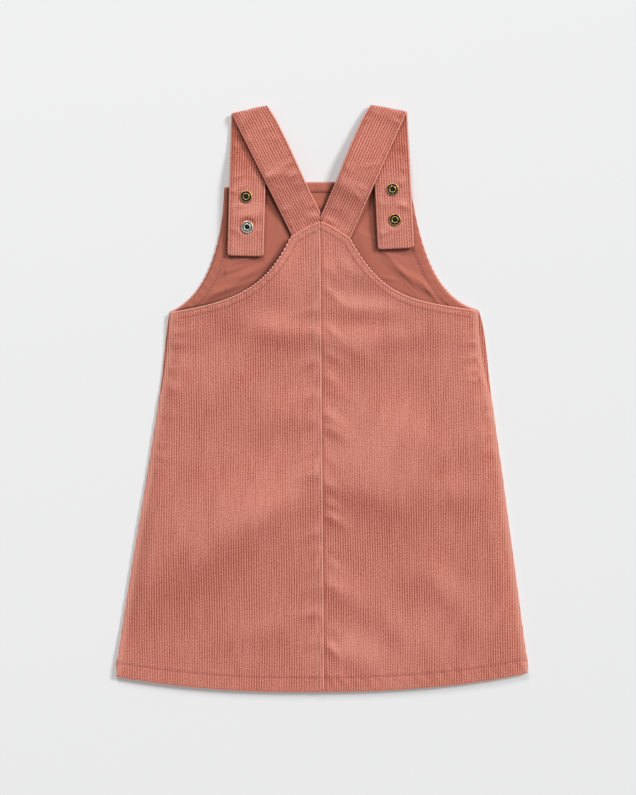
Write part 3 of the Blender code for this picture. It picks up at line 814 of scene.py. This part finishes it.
def strapSurface(plan, run, across, face):
    # a point on the first (face 1) or second (face -1) skin, with ribs, rows and turned edges
    step = 0.05
    alongIt = strapMiddle(plan, run + step, across) - strapMiddle(plan, run - step, across)
    acrossIt = strapMiddle(plan, run, across + step) - strapMiddle(plan, run, across - step)
    normal = np.cross(acrossIt, alongIt)
    normal /= np.linalg.norm(normal, axis=-1, keepdims=True)
    half = strapSizes["width"] / 2.0
    toEdge = half - np.abs(across)
    grooveAndShade = bell(toEdge, strapSizes["edgeRow"], 0.6)
    rounded = np.sqrt(np.clip(1.0 - (1.0 - np.clip(toEdge / 1.1, 0.0, 1.0)) ** 2, 0.0, 1.0))
    endRun = np.clip(run / 1.1, 0.0, 1.0)
    roundEnd = np.sqrt(np.clip(1.0 - (1.0 - endRun) ** 2, 0.0, 1.0))
    ridges = ribs(across + 0.5 * cloth["wale"]) * (1.0 - 0.5 * grooveAndShade)
    facesUp = np.asarray(face) * upper(plan, run) > 0.0
    height = (strapSizes["body"] + ridges - 0.22 * grooveAndShade) * rounded
    height = height + strapRelief(plan, run, across) * facesUp * rounded
    height = height + 0.1 * np.sin(run / 1.2 + 1.4 * np.sin(run / 13.0)) * bell(toEdge, 1.4, 1.0)
    height = height * roundEnd
    point = strapMiddle(plan, run, across) - normal * (height * face)[..., None]
    return point, grooveAndShade, toEdge


def strapRows(plan):
    # places of the rows along the strap, closest at its end and round the slanting fold
    angle = math.radians(plan["angle"] - plan["foldAngle"])
    reach = math.dist(plan["end"], plan["fold"])
    arc = math.pi * strapSizes["foldRadius"] / math.sin(angle)
    spread = abs(0.5 * strapSizes["width"] / math.tan(angle))
    front = np.linspace(2.2, reach - spread - 2.0, strapSizes["frontRows"])
    bend = np.linspace(reach - spread - 1.2, reach + spread + arc + 1.2, strapSizes["bendRows"])
    back = np.linspace(reach + spread + arc + 3.0, plan["length"], strapSizes["backRows"])
    return np.concatenate([[0.0, 0.25, 0.6, 1.1], front, bend, back])


def strapPlace(side):
    plan = strapPlans[side]
    runs = strapRows(plan)
    half = strapSizes["width"] / 2.0
    between = np.linspace(-half + 0.9, half - 0.9, strapSizes["faceColumns"] - 5)
    edge = np.array([0.0, 0.15, 0.45])
    flat = np.concatenate([-half + edge, between, (half - edge)[::-1]])
    loop = np.concatenate([flat, flat[::-1][1:-1], flat[:1]])
    faces = np.concatenate([np.ones(len(flat)), -np.ones(len(flat) - 2), np.ones(1)])
    backRuns = np.arange(plan["bendRun"] + 8.0, plan["length"], 4.0)

    def place(s, t):
        across, face, run = loop[s], faces[s], runs[t]
        corner = strapSizes["corner"]
        inCorner = np.clip(np.abs(across) - (half - corner), 0.0, corner)
        start = corner - np.sqrt(np.clip(corner ** 2 - inCorner ** 2, 0.0, None))
        dip = 1.1 * (1.0 - ribs(across + 0.5 * cloth["wale"]) / cloth["ribDepth"])
        fromEnd = run
        run = run + (start + dip) * np.clip(1.0 - run / 14.0, 0.0, 1.0)
        point, grooveAndShade, toEdge = strapSurface(plan, run, across, face)
        middle = strapMiddle(plan, run, across)
        closing = np.sqrt(np.clip(1.0 - (1.0 - np.clip(fromEnd / 1.1, 0.0, 1.0)) ** 2, 0.0, 1.0))
        point = middle + (point - middle) * closing[:, None]
        # painted highlight along the strap's edges and its end
        rimHighlight = np.maximum(1.0 - smooth(toEdge, 0.3, 1.4), 1.0 - smooth(fromEnd, 0.3, 1.6))
        lit = (strapRelief(plan, run + 1.5, across) - strapRelief(plan, run - 1.5, across)) / 3.0
        beyond = smooth(run, plan["bendRun"] - 3.0, plan["bendRun"])
        # painted light on the strap's lower front leg and painted shade on its upper part, under the back leg
        paintedShading = 0.9 * (1.0 - smooth(run, 48.0, 78.0)) + 0.5 * (1.0 - smooth(run, 6.0, 28.0))
        paintedShading = paintedShading - 1.5 * smooth(run, 62.0, 88.0) * (1.0 - beyond) + 0.15 * beyond
        # painted contact shadow on the front leg along the back leg's outer edge
        over = strapMiddle(plan, backRuns, np.full(len(backRuns), -half))[:, :2]
        gap, _ = nearest(point[:, 0], point[:, 1], over)
        contactShadow = bell(gap, 0.0, 1.8) * (1.0 - beyond)
        marks = {"grooveAndShade": np.maximum(0.6 * grooveAndShade, 1.3 * contactShadow), "rimHighlight": 0.5 * rimHighlight,
                 "crestLight": np.full(len(s), -2.0), "slopeShade": lit * face, "paintedShading": paintedShading}
        return point[:, 0], point[:, 1], point[:, 2], across + 0.5 * cloth["wale"], run, marks
    return len(loop) - 1, len(runs) - 1, place


def cutWith(piece, point, normal):
    # takes away what lies on the normal's side of a plane and closes the cut
    onlyPick(piece)
    bpy.ops.object.mode_set(mode="EDIT")
    bpy.ops.mesh.select_all(action="SELECT")
    bpy.ops.mesh.bisect(plane_co=point, plane_no=normal, use_fill=True, clear_outer=True)
    bpy.ops.object.mode_set(mode="OBJECT")


def buildStrap(side):
    sign = sideSign[side]
    across, up, place = strapPlace(side)
    piece = gridPiece("shoulderStrap_" + side, across, up, place)
    onlyPick(piece)
    bpy.ops.object.mode_set(mode="EDIT")
    bpy.ops.mesh.select_all(action="SELECT")
    bpy.ops.mesh.remove_doubles(threshold=0.002 * mm)
    bpy.ops.mesh.normals_make_consistent(inside=False)
    bpy.ops.object.mode_set(mode="OBJECT")
    neck = dress["neckTop"]
    middle = dress["seamTop"] + sign * cloth["seamGap"]
    cutWith(piece, (middle * mm, neck * mm, 0.0), (-sign, 0.0, 0.0))
    corner = backEdge[side][0]["end"]
    along = np.array([sign * corner[0], corner[1] - neck])
    along /= np.linalg.norm(along)
    cutWith(piece, (dress["seamTop"] * mm, (neck - strapSizes["tuck"]) * mm, 0.0),
            (sign * along[1], -sign * along[0], 0.0))
    shadeSoft(piece)
    return piece


straps = {side: buildStrap(side) for side in sideSign}
print("straps", [len(p.data.polygons) for p in straps.values()])


buttonSizes = {
    "sides": 48, "headThick": 2.6, "tackThick": 0.8,
    "dishIn": 3.0, "dishOut": 4.4, "hole": 2.25,      # radii of the dark marks on the tack's face
    "dishDark": {"button_left_lower": 0.7},           # the bright one is worn paler
}


def buttonRings(spot):
    # radius and height of every turn, from the middle of the head to the middle of the tack
    low, cap = spot["low"], spot["high"] - buttonSizes["tackThick"]
    top = low + buttonSizes["headThick"]
    return [
        (1.0, low + 0.4), (4.9, low + 0.4), (5.3, low + 0.1), (6.6, low), (7.2, low + 0.3), (7.5, low + 1.1),
        (7.4, low + 1.9), (6.9, top - 0.1), (6.3, top), (3.2, top), (2.6, top + 0.2), (2.6, cap - 0.05),
        (4.7, cap), (5.1, cap + 0.15), (5.2, cap + 0.42), (5.05, cap + 0.72), (4.7, cap + 0.85),
        (4.35, cap + 0.75), (4.15, cap + 0.35), (4.0, cap + 0.2), (3.2, cap + 0.2), (3.05, cap + 0.4),
        (2.95, cap + 0.7), (2.65, cap + 0.82), (2.3, cap + 0.7), (2.15, cap + 0.3), (2.1, cap + 0.02),
        (1.0, cap), (0.6, cap + 0.03), (0.5, cap + 0.3), (0.25, cap + 0.36),
    ]


def buildButton(node, spot):
    rings = buttonRings(spot)
    bpy.ops.object.select_all(action="DESELECT")
    bpy.ops.mesh.primitive_circle_add(vertices=buttonSizes["sides"], radius=rings[0][0] * mm,
                                      location=(spot["x"] * mm, spot["y"] * mm, rings[0][1] * mm))
    piece = bpy.context.object
    piece.name = "tackButton_" + node[7:]
    bpy.ops.object.mode_set(mode="EDIT")
    bpy.ops.mesh.select_all(action="SELECT")
    for (radius, height), (newRadius, newHeight) in zip(rings, rings[1:]):
        climb = (newHeight - height) * mm
        bpy.ops.mesh.extrude_edges_move(TRANSFORM_OT_translate={"value": (0.0, 0.0, climb)})
        grow = newRadius / radius
        bpy.ops.transform.resize(value=(grow, grow, 1.0),
                                 center_override=(spot["x"] * mm, spot["y"] * mm, 0.0))
    bpy.ops.mesh.select_all(action="SELECT")
    bpy.ops.mesh.fill_holes(sides=0)
    bpy.ops.mesh.normals_make_consistent(inside=False)
    bpy.ops.object.mode_set(mode="OBJECT")
    bpy.ops.object.transform_apply(location=True, rotation=True, scale=True)
    mesh = piece.data
    spots = np.empty(len(mesh.vertices) * 3)
    mesh.vertices.foreach_get("co", spots)
    spots = spots.reshape(-1, 3) / mm
    out = np.hypot(spots[:, 0] - spot["x"], spots[:, 1] - spot["y"])
    onFace = spots[:, 2] > spot["high"] - 1.5
    dishDark = buttonSizes["dishDark"].get(node, 1.0)
    inDish = (out < buttonSizes["dishOut"]) & (out > buttonSizes["dishIn"])
    dark = np.where(inDish, dishDark, 0.0) + np.where(out < buttonSizes["hole"], 1.0, 0.0)
    dark = dark * onFace
    mark = mesh.attributes.new("dark", "FLOAT", "POINT")
    mark.data.foreach_set("value", dark.astype(np.float32))
    shadeSoft(piece, 35.0)
    return piece


buttons = {node: buildButton(node, spot) for node, spot in buttonPlaces.items()}
print("buttons", [len(p.data.polygons) for p in buttons.values()])


def buildStitch():
    # one stitch, copied along every row
    bpy.ops.object.select_all(action="DESELECT")
    bpy.ops.mesh.primitive_uv_sphere_add(segments=8, ring_count=5, radius=0.5,
                                         rotation=(0.0, math.pi / 2, 0.0))
    stitch = bpy.context.object
    bpy.ops.object.transform_apply(location=True, rotation=True, scale=True)
    stitch.scale = (threadSizes["length"], threadSizes["width"], threadSizes["height"])
    bpy.ops.object.transform_apply(location=True, rotation=True, scale=True)
    return stitch


def rowPoints(line):
    # middles and ends of the stitches along a line of pattern points
    run = np.concatenate([[0.0], np.cumsum(np.linalg.norm(np.diff(line, axis=0), axis=1))])
    count = int(run[-1] / threadSizes["pitch"])
    middles = (np.arange(count) + 0.5) * run[-1] / count
    half = threadSizes["length"] / 2.0

    def at(place):
        return np.stack([np.interp(place, run, line[:, 0]), np.interp(place, run, line[:, 1])], 1)
    return at(middles - half), at(middles), at(middles + half)


def layStitches(name, rows):
    # rows: (line of pattern points, surface that turns pattern points into places in space)
    stitch = buildStitch()
    mesh = stitch.data
    shape = np.array([list(vertex.co) for vertex in mesh.vertices])
    faces = [list(face.vertices) for face in mesh.polygons]
    allSpots, allFaces = [], []
    count = 0
    for line, surface in rows:
        first, middle, last = rowPoints(line)
        a, b, c = surface(first), surface(middle), surface(last)
        along = c - a
        along /= np.linalg.norm(along, axis=1, keepdims=True)
        flat = np.stack([-(last - first)[:, 1], (last - first)[:, 0]], 1)
        flat /= np.linalg.norm(flat, axis=1, keepdims=True)
        side = surface(middle + flat * 0.2) - surface(middle - flat * 0.2)
        side[:, 2] = 0.0
        side -= along * (side * along).sum(1, keepdims=True)
        side /= np.linalg.norm(side, axis=1, keepdims=True)
        up = np.cross(along, side)
        centre = (a + c + b) / 3.0 + up * 0.12
        spots = (centre[:, None] + along[:, None] * shape[None, :, :1] + side[:, None] * shape[None, :, 1:2]
                 + up[:, None] * shape[None, :, 2:])
        for _ in spots:
            allFaces.extend([[v + count for v in face] for face in faces])
            count += len(shape)
        allSpots.append(spots.reshape(-1, 3))
    bpy.data.objects.remove(stitch)
    made = bpy.data.meshes.new(name)
    made.from_pydata((np.concatenate(allSpots) * mm).tolist(), [], allFaces)
    made.update()
    piece = bpy.data.objects.new(name, made)
    bpy.context.collection.objects.link(piece)
    onlyPick(piece)
    bpy.ops.object.mode_set(mode="EDIT")
    bpy.ops.mesh.select_all(action="SELECT")
    bpy.ops.mesh.normals_make_consistent(inside=False)
    bpy.ops.object.mode_set(mode="OBJECT")
    bpy.ops.object.shade_smooth()
    return piece


def inward(line, distance):
    # the line moved towards the cloth's middle
    step = np.gradient(line, axis=0)
    step /= np.linalg.norm(step, axis=1, keepdims=True)
    return line + distance * np.stack([step[:, 1], -step[:, 0]], 1)


def backSurface(side):
    def surface(points):
        x, y, z, _ = backPoint(side, points[:, 0], points[:, 1])
        return np.stack([x, y, z], 1)
    return surface


def backRows(side):
    rows = []
    for distance in backSizes["edgeRows"]:
        line = inward(backLines[side]["top"], distance)
        sideX = backLines[side]["side"][0][0] - 5.0
        line = line[(line[:, 0] > (0.4 if side == "right" else 1.0)) & (line[:, 0] < sideX)]
        rows.append((line, backSurface(side)))
    c = np.linspace(1.0, dress["halfHem"] - 2.5, 200)
    hem = hemY(-c if side == "left" else c)
    rows.append((np.stack([c, hem + cloth["hem"]], 1), backSurface(side)))
    if side == "left":
        y = np.linspace(dress["neckTop"] - 3.0, dress["hemLow"] + 1.5, 200)
        for distance in backSizes["seamRows"]:
            rows.append((np.stack([np.full(len(y), distance), y], 1), backSurface(side)))
    return rows


def liningSurface(points):
    x, y = points[:, 0], points[:, 1]
    z, _ = liningHeight(x, y)
    return np.stack([x + lean(x, y), y, z], 1)


def liningRows():
    rows = []
    for side, sign in sideSign.items():
        line = inward(liningLine[side], liningSizes["band"])
        line = line[line[:, 1] > 84.0] * np.array([sign, 1.0])
        rows.append((line, liningSurface))
    left, right = rows[0][0][0], rows[1][0][0]
    x = np.linspace(left[0], right[0], 80)
    top = np.where(x < 0.0, liningTop("left", -x), liningTop("right", x)) - liningSizes["band"]
    rows.append((np.stack([x, top], 1), liningSurface))
    return rows


def strapRowsOfStitches(side):
    plan = strapPlans[side]
    half = strapSizes["width"] / 2.0 - strapSizes["edgeRow"]
    reach = plan["length"] - (34.0 if side == "left" else 30.0)
    rows = []
    for face in (1.0, -1.0):
        def surface(points, face=face):
            point, _, _ = strapSurface(plan, points[:, 0], points[:, 1], face)
            return point
        for across in (-half, half):
            run = np.linspace(3.0, reach, 200)
            rows.append((np.stack([run, np.full(len(run), across)], 1), surface))
        across = np.linspace(-half, half, 20)
        for run in (3.4, 41.0):
            rows.append((np.stack([np.full(len(across), run), across], 1), surface))
    return rows


stitching = {
    "back_left": layStitches("backStitches_left", backRows("left")),
    "back_right": layStitches("backStitches_right", backRows("right")),
    "bib_lining": layStitches("liningStitches", liningRows()),
    "strap_left": layStitches("strapStitches_left", strapRowsOfStitches("left")),
    "strap_right": layStitches("strapStitches_right", strapRowsOfStitches("right")),
}
print("stitches", [len(p.data.polygons) for p in stitching.values()])


class Wire:
    # a node's output that takes arithmetic
    def __init__(self, finish, socket):
        self.finish = finish
        self.socket = socket

    def maths(self, operation, first, second):
        return self.finish.node("ShaderNodeMath", {"operation": operation}, {0: first, 1: second})

    def __add__(self, other):
        return self.maths("ADD", self, other)

    def __radd__(self, other):
        return self.maths("ADD", other, self)

    def __sub__(self, other):
        return self.maths("SUBTRACT", self, other)

    def __rsub__(self, other):
        return self.maths("SUBTRACT", other, self)

    def __mul__(self, other):
        return self.maths("MULTIPLY", self, other)

    def __pow__(self, other):
        return self.maths("POWER", self, other)


class Finish:
    # a material built up node by node round its shader
    def __init__(self, name):
        self.material = bpy.data.materials.new(name)
        self.material.use_nodes = True
        self.tree = self.material.node_tree
        self.shader = self.tree.nodes["Principled BSDF"]

    def node(self, kind, settings=None, inputs=None, output=0):
        made = self.tree.nodes.new(kind)
        for key, value in (settings or {}).items():
            setattr(made, key, value)
        for key, value in (inputs or {}).items():
            self.feed(made.inputs[key], value)
        return Wire(self, made.outputs[output])

    def feed(self, socket, value):
        if isinstance(value, Wire):
            self.tree.links.new(value.socket, socket)
        else:
            socket.default_value = value

    def set(self, **values):
        for key, value in values.items():
            self.feed(self.shader.inputs[key.replace("_", " ")], value)

    def mark(self, name):
        return self.node("ShaderNodeAttribute", {"attribute_name": name}, output="Fac")

    def mix(self, factor, first, second):
        return self.node("ShaderNodeMix", {"data_type": "RGBA"}, {"Factor": factor, 6: first, 7: second},
                         output=2)

    def noise(self, vector, scale, detail=2.0, roughness=0.5):
        return self.node("ShaderNodeTexNoise", {},
                         {"Vector": vector, "Scale": scale, "Detail": detail, "Roughness": roughness})

    def stretch(self, vector, scale):
        return self.node("ShaderNodeMapping", {"vector_type": "POINT"}, {"Vector": vector, "Scale": scale})


def rgb(red, green, blue):
    # a colour as seen on a screen, made linear
    values = []
    for level in (red, green, blue):
        part = level / 255.0
        values.append(part / 12.92 if part <= 0.04045 else ((part + 0.055) / 1.055) ** 2.4)
    return (*values, 1.0)


corduroyLook = {
    # the ridge and valley colours: the pile's own colour, with painted sheen on the wale tops and painted
    # shade in the furrows
    "ridgeSheen": rgb(231, 155, 138), "valleyShade": rgb(159, 73, 54), "rimHighlight": rgb(240, 174, 154),
    "grooveAndShade": rgb(132, 62, 50), "sheenTint": rgb(240, 190, 175),
    "ribContrast": 0.82, "brushedFade": 0.62,        # how strongly the ribs show, and less where brushed
    # how much brushing adds light, and how strongly the slopes and the patches paint light and shade
    "brushedLight": 0.15, "slopeLight": 0.9, "shadingLight": 0.13,
    "streaks": 0.5, "pile": 2.3, "fuzz": 1.2,        # how much each grain shows
    "roughness": 0.93, "sheen": 0.14,
}


def corduroyFinish():
    look = corduroyLook
    finish = Finish("corduroy")
    place = finish.node("ShaderNodeUVMap", {"uv_map": "cloth"})
    across = finish.node("ShaderNodeSeparateXYZ", {}, {"Vector": place})
    waleCount = across * (100.0 / cloth["wale"])
    turn = finish.node("ShaderNodeMath", {"operation": "COSINE"}, {0: waleCount * (2.0 * math.pi)})
    ridgeSheen = 0.5 - turn * 0.5
    streaks = finish.noise(finish.stretch(place, (60.0, 4.0, 1.0)), 1.0, 3.0, 0.55)
    pile = finish.noise(finish.stretch(place, (115.0, 95.0, 1.0)), 1.0, 2.0, 0.6)
    fuzz = finish.noise(finish.stretch(place, (330.0, 300.0, 1.0)), 1.0, 2.0, 0.6)
    patch = finish.noise(finish.stretch(place, (5.0, 2.6, 1.0)), 1.0, 3.0, 0.55)
    grooveAndShade = finish.mark("grooveAndShade")
    rimHighlight = finish.mark("rimHighlight")
    crestLight = finish.mark("crestLight")
    slopeShade = finish.mark("slopeShade")
    paintedShading = finish.mark("paintedShading")
    # raised and brushed places lose their ribs in the pile; fold crests, slopes and patches also paint light
    # and shade here
    brushedAndLit = finish.node("ShaderNodeMath", {"operation": "ADD", "use_clamp": True},
                          {0: crestLight * 0.12 + slopeShade * 4.0 + paintedShading * 0.3, 1: (patch - 0.4) * 2.6})
    height = 0.5 + (ridgeSheen ** 0.8 - 0.55) * (look["ribContrast"] - brushedAndLit * look["brushedFade"])
    height = height + (brushedAndLit - 0.35) * look["brushedLight"]
    height = height + slopeShade * look["slopeLight"] + paintedShading * look["shadingLight"]
    height = finish.node("ShaderNodeMath", {"operation": "ADD", "use_clamp": True},
                         {0: height, 1: (streaks - 0.5) * look["streaks"] + (pile - 0.5) * look["pile"]
                          + (fuzz - 0.5) * look["fuzz"]})
    # painted shade in the furrows and painted sheen on the wale tops, over the pile's own colour
    colour = finish.mix(height, look["valleyShade"], look["ridgeSheen"])
    # painted highlight on the edges
    colour = finish.mix(rimHighlight * 0.6, colour, look["rimHighlight"])
    # stitch rows darkened: pressed pile with painted shade, and painted contact shadow on the straps
    colour = finish.mix(grooveAndShade * 0.65, colour, look["grooveAndShade"])
    bump = finish.node("ShaderNodeBump", {}, {"Strength": 0.5, "Distance": 0.0004,
                                              "Height": pile + streaks * 0.5})
    finish.set(Base_Color=colour, Roughness=look["roughness"], Normal=bump)
    finish.shader.inputs["Specular IOR Level"].default_value = 0.15
    finish.shader.inputs["Sheen Weight"].default_value = look["sheen"]
    finish.shader.inputs["Sheen Roughness"].default_value = 0.5
    finish.shader.inputs["Sheen Tint"].default_value = look["sheenTint"]
    return finish.material


liningLook = {"light": rgb(194, 117, 98), "dark": rgb(173, 98, 81), "grooveAndShade": rgb(128, 66, 54),
              "shadowColour": rgb(44, 20, 18)}


def liningFinish():
    finish = Finish("liningCotton")
    place = finish.node("ShaderNodeUVMap", {"uv_map": "cloth"})
    thread = finish.noise(finish.stretch(place, (300.0, 300.0, 1.0)), 1.0)
    slub = finish.noise(finish.stretch(place, (8.0, 60.0, 1.0)), 1.0, 3.0)
    patch = finish.noise(place, 5.0, 2.0)
    colour = finish.mix(thread * 0.6 + slub * 0.25 + patch * 0.15, liningLook["dark"], liningLook["light"])
    colour = finish.mix(finish.mark("grooveAndShade") * 0.6, colour, liningLook["grooveAndShade"])
    # painted shadow where the lining lies under other parts
    colour = finish.mix(finish.mark("shade") * 0.9, colour, liningLook["shadowColour"])
    bump = finish.node("ShaderNodeBump", {}, {"Strength": 0.35, "Distance": 0.0002, "Height": thread + slub})
    finish.set(Base_Color=colour, Roughness=0.88, Normal=bump)
    finish.shader.inputs["Specular IOR Level"].default_value = 0.2
    finish.shader.inputs["Sheen Weight"].default_value = 0.1
    return finish.material


threadLook = {"light": rgb(214, 140, 124), "dark": rgb(182, 106, 92)}


def threadFinish():
    finish = Finish("thread")
    place = finish.node("ShaderNodeTexCoord", output=3)
    grain = finish.noise(place, 1400.0, 1.0)
    finish.set(Base_Color=finish.mix(grain, threadLook["dark"], threadLook["light"]), Roughness=0.7)
    return finish.material


metalLook = {
    "antiqueBrass": dict(bright=rgb(222, 186, 116), worn=rgb(136, 104, 56), enamel=rgb(14, 16, 20)),
    "nickel": dict(bright=rgb(244, 242, 232), worn=rgb(184, 180, 168), enamel=rgb(14, 14, 16)),
}


def metalFinish(name, bright, worn, enamel):
    finish = Finish(name)
    place = finish.node("ShaderNodeTexCoord", output=3)
    wear = finish.noise(place, 900.0, 3.0)
    dark = finish.mark("dark")
    colour = finish.mix(wear, worn, bright)
    finish.set(Base_Color=finish.mix(dark, colour, enamel), Roughness=0.32 + wear * 0.2,
               Metallic=1.0 - dark * 0.85)
    return finish.material


corduroy = corduroyFinish()
liningCotton = liningFinish()
thread = threadFinish()
antiqueBrass = metalFinish("antiqueBrass", **metalLook["antiqueBrass"])
nickel = metalFinish("nickel", **metalLook["nickel"])
for piece in stitching.values():
    piece.data.materials.append(thread)
for node, piece in buttons.items():
    piece.data.materials.append(nickel if node == "button_left_lower" else antiqueBrass)
for piece in [*backPanels.values(), frontPanel, *straps.values()]:
    piece.data.materials.clear()
    piece.data.materials.append(corduroy)
bibLining.data.materials.clear()
bibLining.data.materials.append(liningCotton)


for side in sideSign:
    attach(backPanels[side], "root")
    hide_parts("back_" + side)
    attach(straps[side], "root")
    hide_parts("strap_" + side)
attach(frontPanel, "root")
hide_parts("front_panel")
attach(bibLining, "root")
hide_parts("bib_lining")
for node, piece in buttons.items():
    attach(piece, "root")
    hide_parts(node)
for node, piece in stitching.items():
    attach(piece, "root")


def areaOf(line, foot):
    # area between an outline and the line below it, in square metres
    x = np.linspace(line[0][0], line[-1][0], 400)
    return float(np.trapz(np.interp(x, line[:, 0], line[:, 1]) - foot(x), x)) * 1e-6


for side in sideSign:
    panelArea = areaOf(backLines[side]["all"], hemY)
bibMiddle = [[0.0, dress["bibTop"]]]
frontArea = sum(areaOf(np.concatenate([bibMiddle, frontLines[side]["all"]]), hemY) for side in sideSign)
liningArea = sum(areaOf(np.concatenate([bibMiddle, frontLines[side]["top"]]),
                        lambda x: np.full(len(x), liningSizes["foot"])) for side in sideSign)


studio = {
    "floor": rgb(220, 220, 221), "floorSize": 8.0, "glow": rgb(250, 251, 251), "glowPower": 0.16,
    "key": dict(place=(3.0, 1.9, 2.4), power=2.4, size=15.0),        # size in degrees
    "top": dict(place=(-0.9, 4.9, 3.4), power=166.0, size=2.0),      # size in metres
    "sky": 0.28,
    "eye": 2.0, "aim": (-0.00344, 0.00043), "spanUp": 0.6837,        # camera height, middle and view height
}


def buildFloor():
    bpy.ops.object.select_all(action="DESELECT")
    bpy.ops.mesh.primitive_plane_add(size=studio["floorSize"], location=(0.0, 0.0, 0.0))
    floor = bpy.context.object
    floor.name = "floor"
    finish = Finish("paleFloor")
    finish.set(Base_Color=studio["floor"], Roughness=0.9)
    finish.shader.inputs["Emission Color"].default_value = studio["glow"]
    finish.shader.inputs["Emission Strength"].default_value = studio["glowPower"]
    floor.data.materials.append(finish.material)


def softLight(name, kind, place, power, size):
    # a light that looks at the middle of the dress
    lamp = bpy.data.lights.new(name, kind)
    if kind == "AREA":
        lamp.size = size
    else:
        lamp.angle = math.radians(size)
    lamp.energy = power
    holder = bpy.data.objects.new(name, lamp)
    bpy.context.collection.objects.link(holder)
    holder.location = place
    holder.rotation_euler = (-Vector(place)).to_track_quat("-Z", "Y").to_euler()


def buildLights():
    softLight("keyLight", "SUN", **studio["key"])
    softLight("topLight", "AREA", **studio["top"])
    world = bpy.data.worlds.new("studio")
    bpy.context.scene.world = world
    world.use_nodes = True
    sky = world.node_tree.nodes["Background"]
    sky.inputs["Color"].default_value = (1.0, 1.0, 1.0, 1.0)
    sky.inputs["Strength"].default_value = studio["sky"]


def buildCamera():
    view = bpy.data.cameras.new("overhead")
    holder = bpy.data.objects.new("overhead", view)
    bpy.context.collection.objects.link(holder)
    holder.location = (studio["aim"][0], studio["aim"][1], studio["eye"])
    view.sensor_width = 36.0
    view.lens = 36.0 * studio["eye"] / studio["spanUp"]
    bpy.context.scene.camera = holder


buildFloor()
buildLights()
buildCamera()
bpy.context.scene.view_settings.view_transform = "Standard"
print("studio")
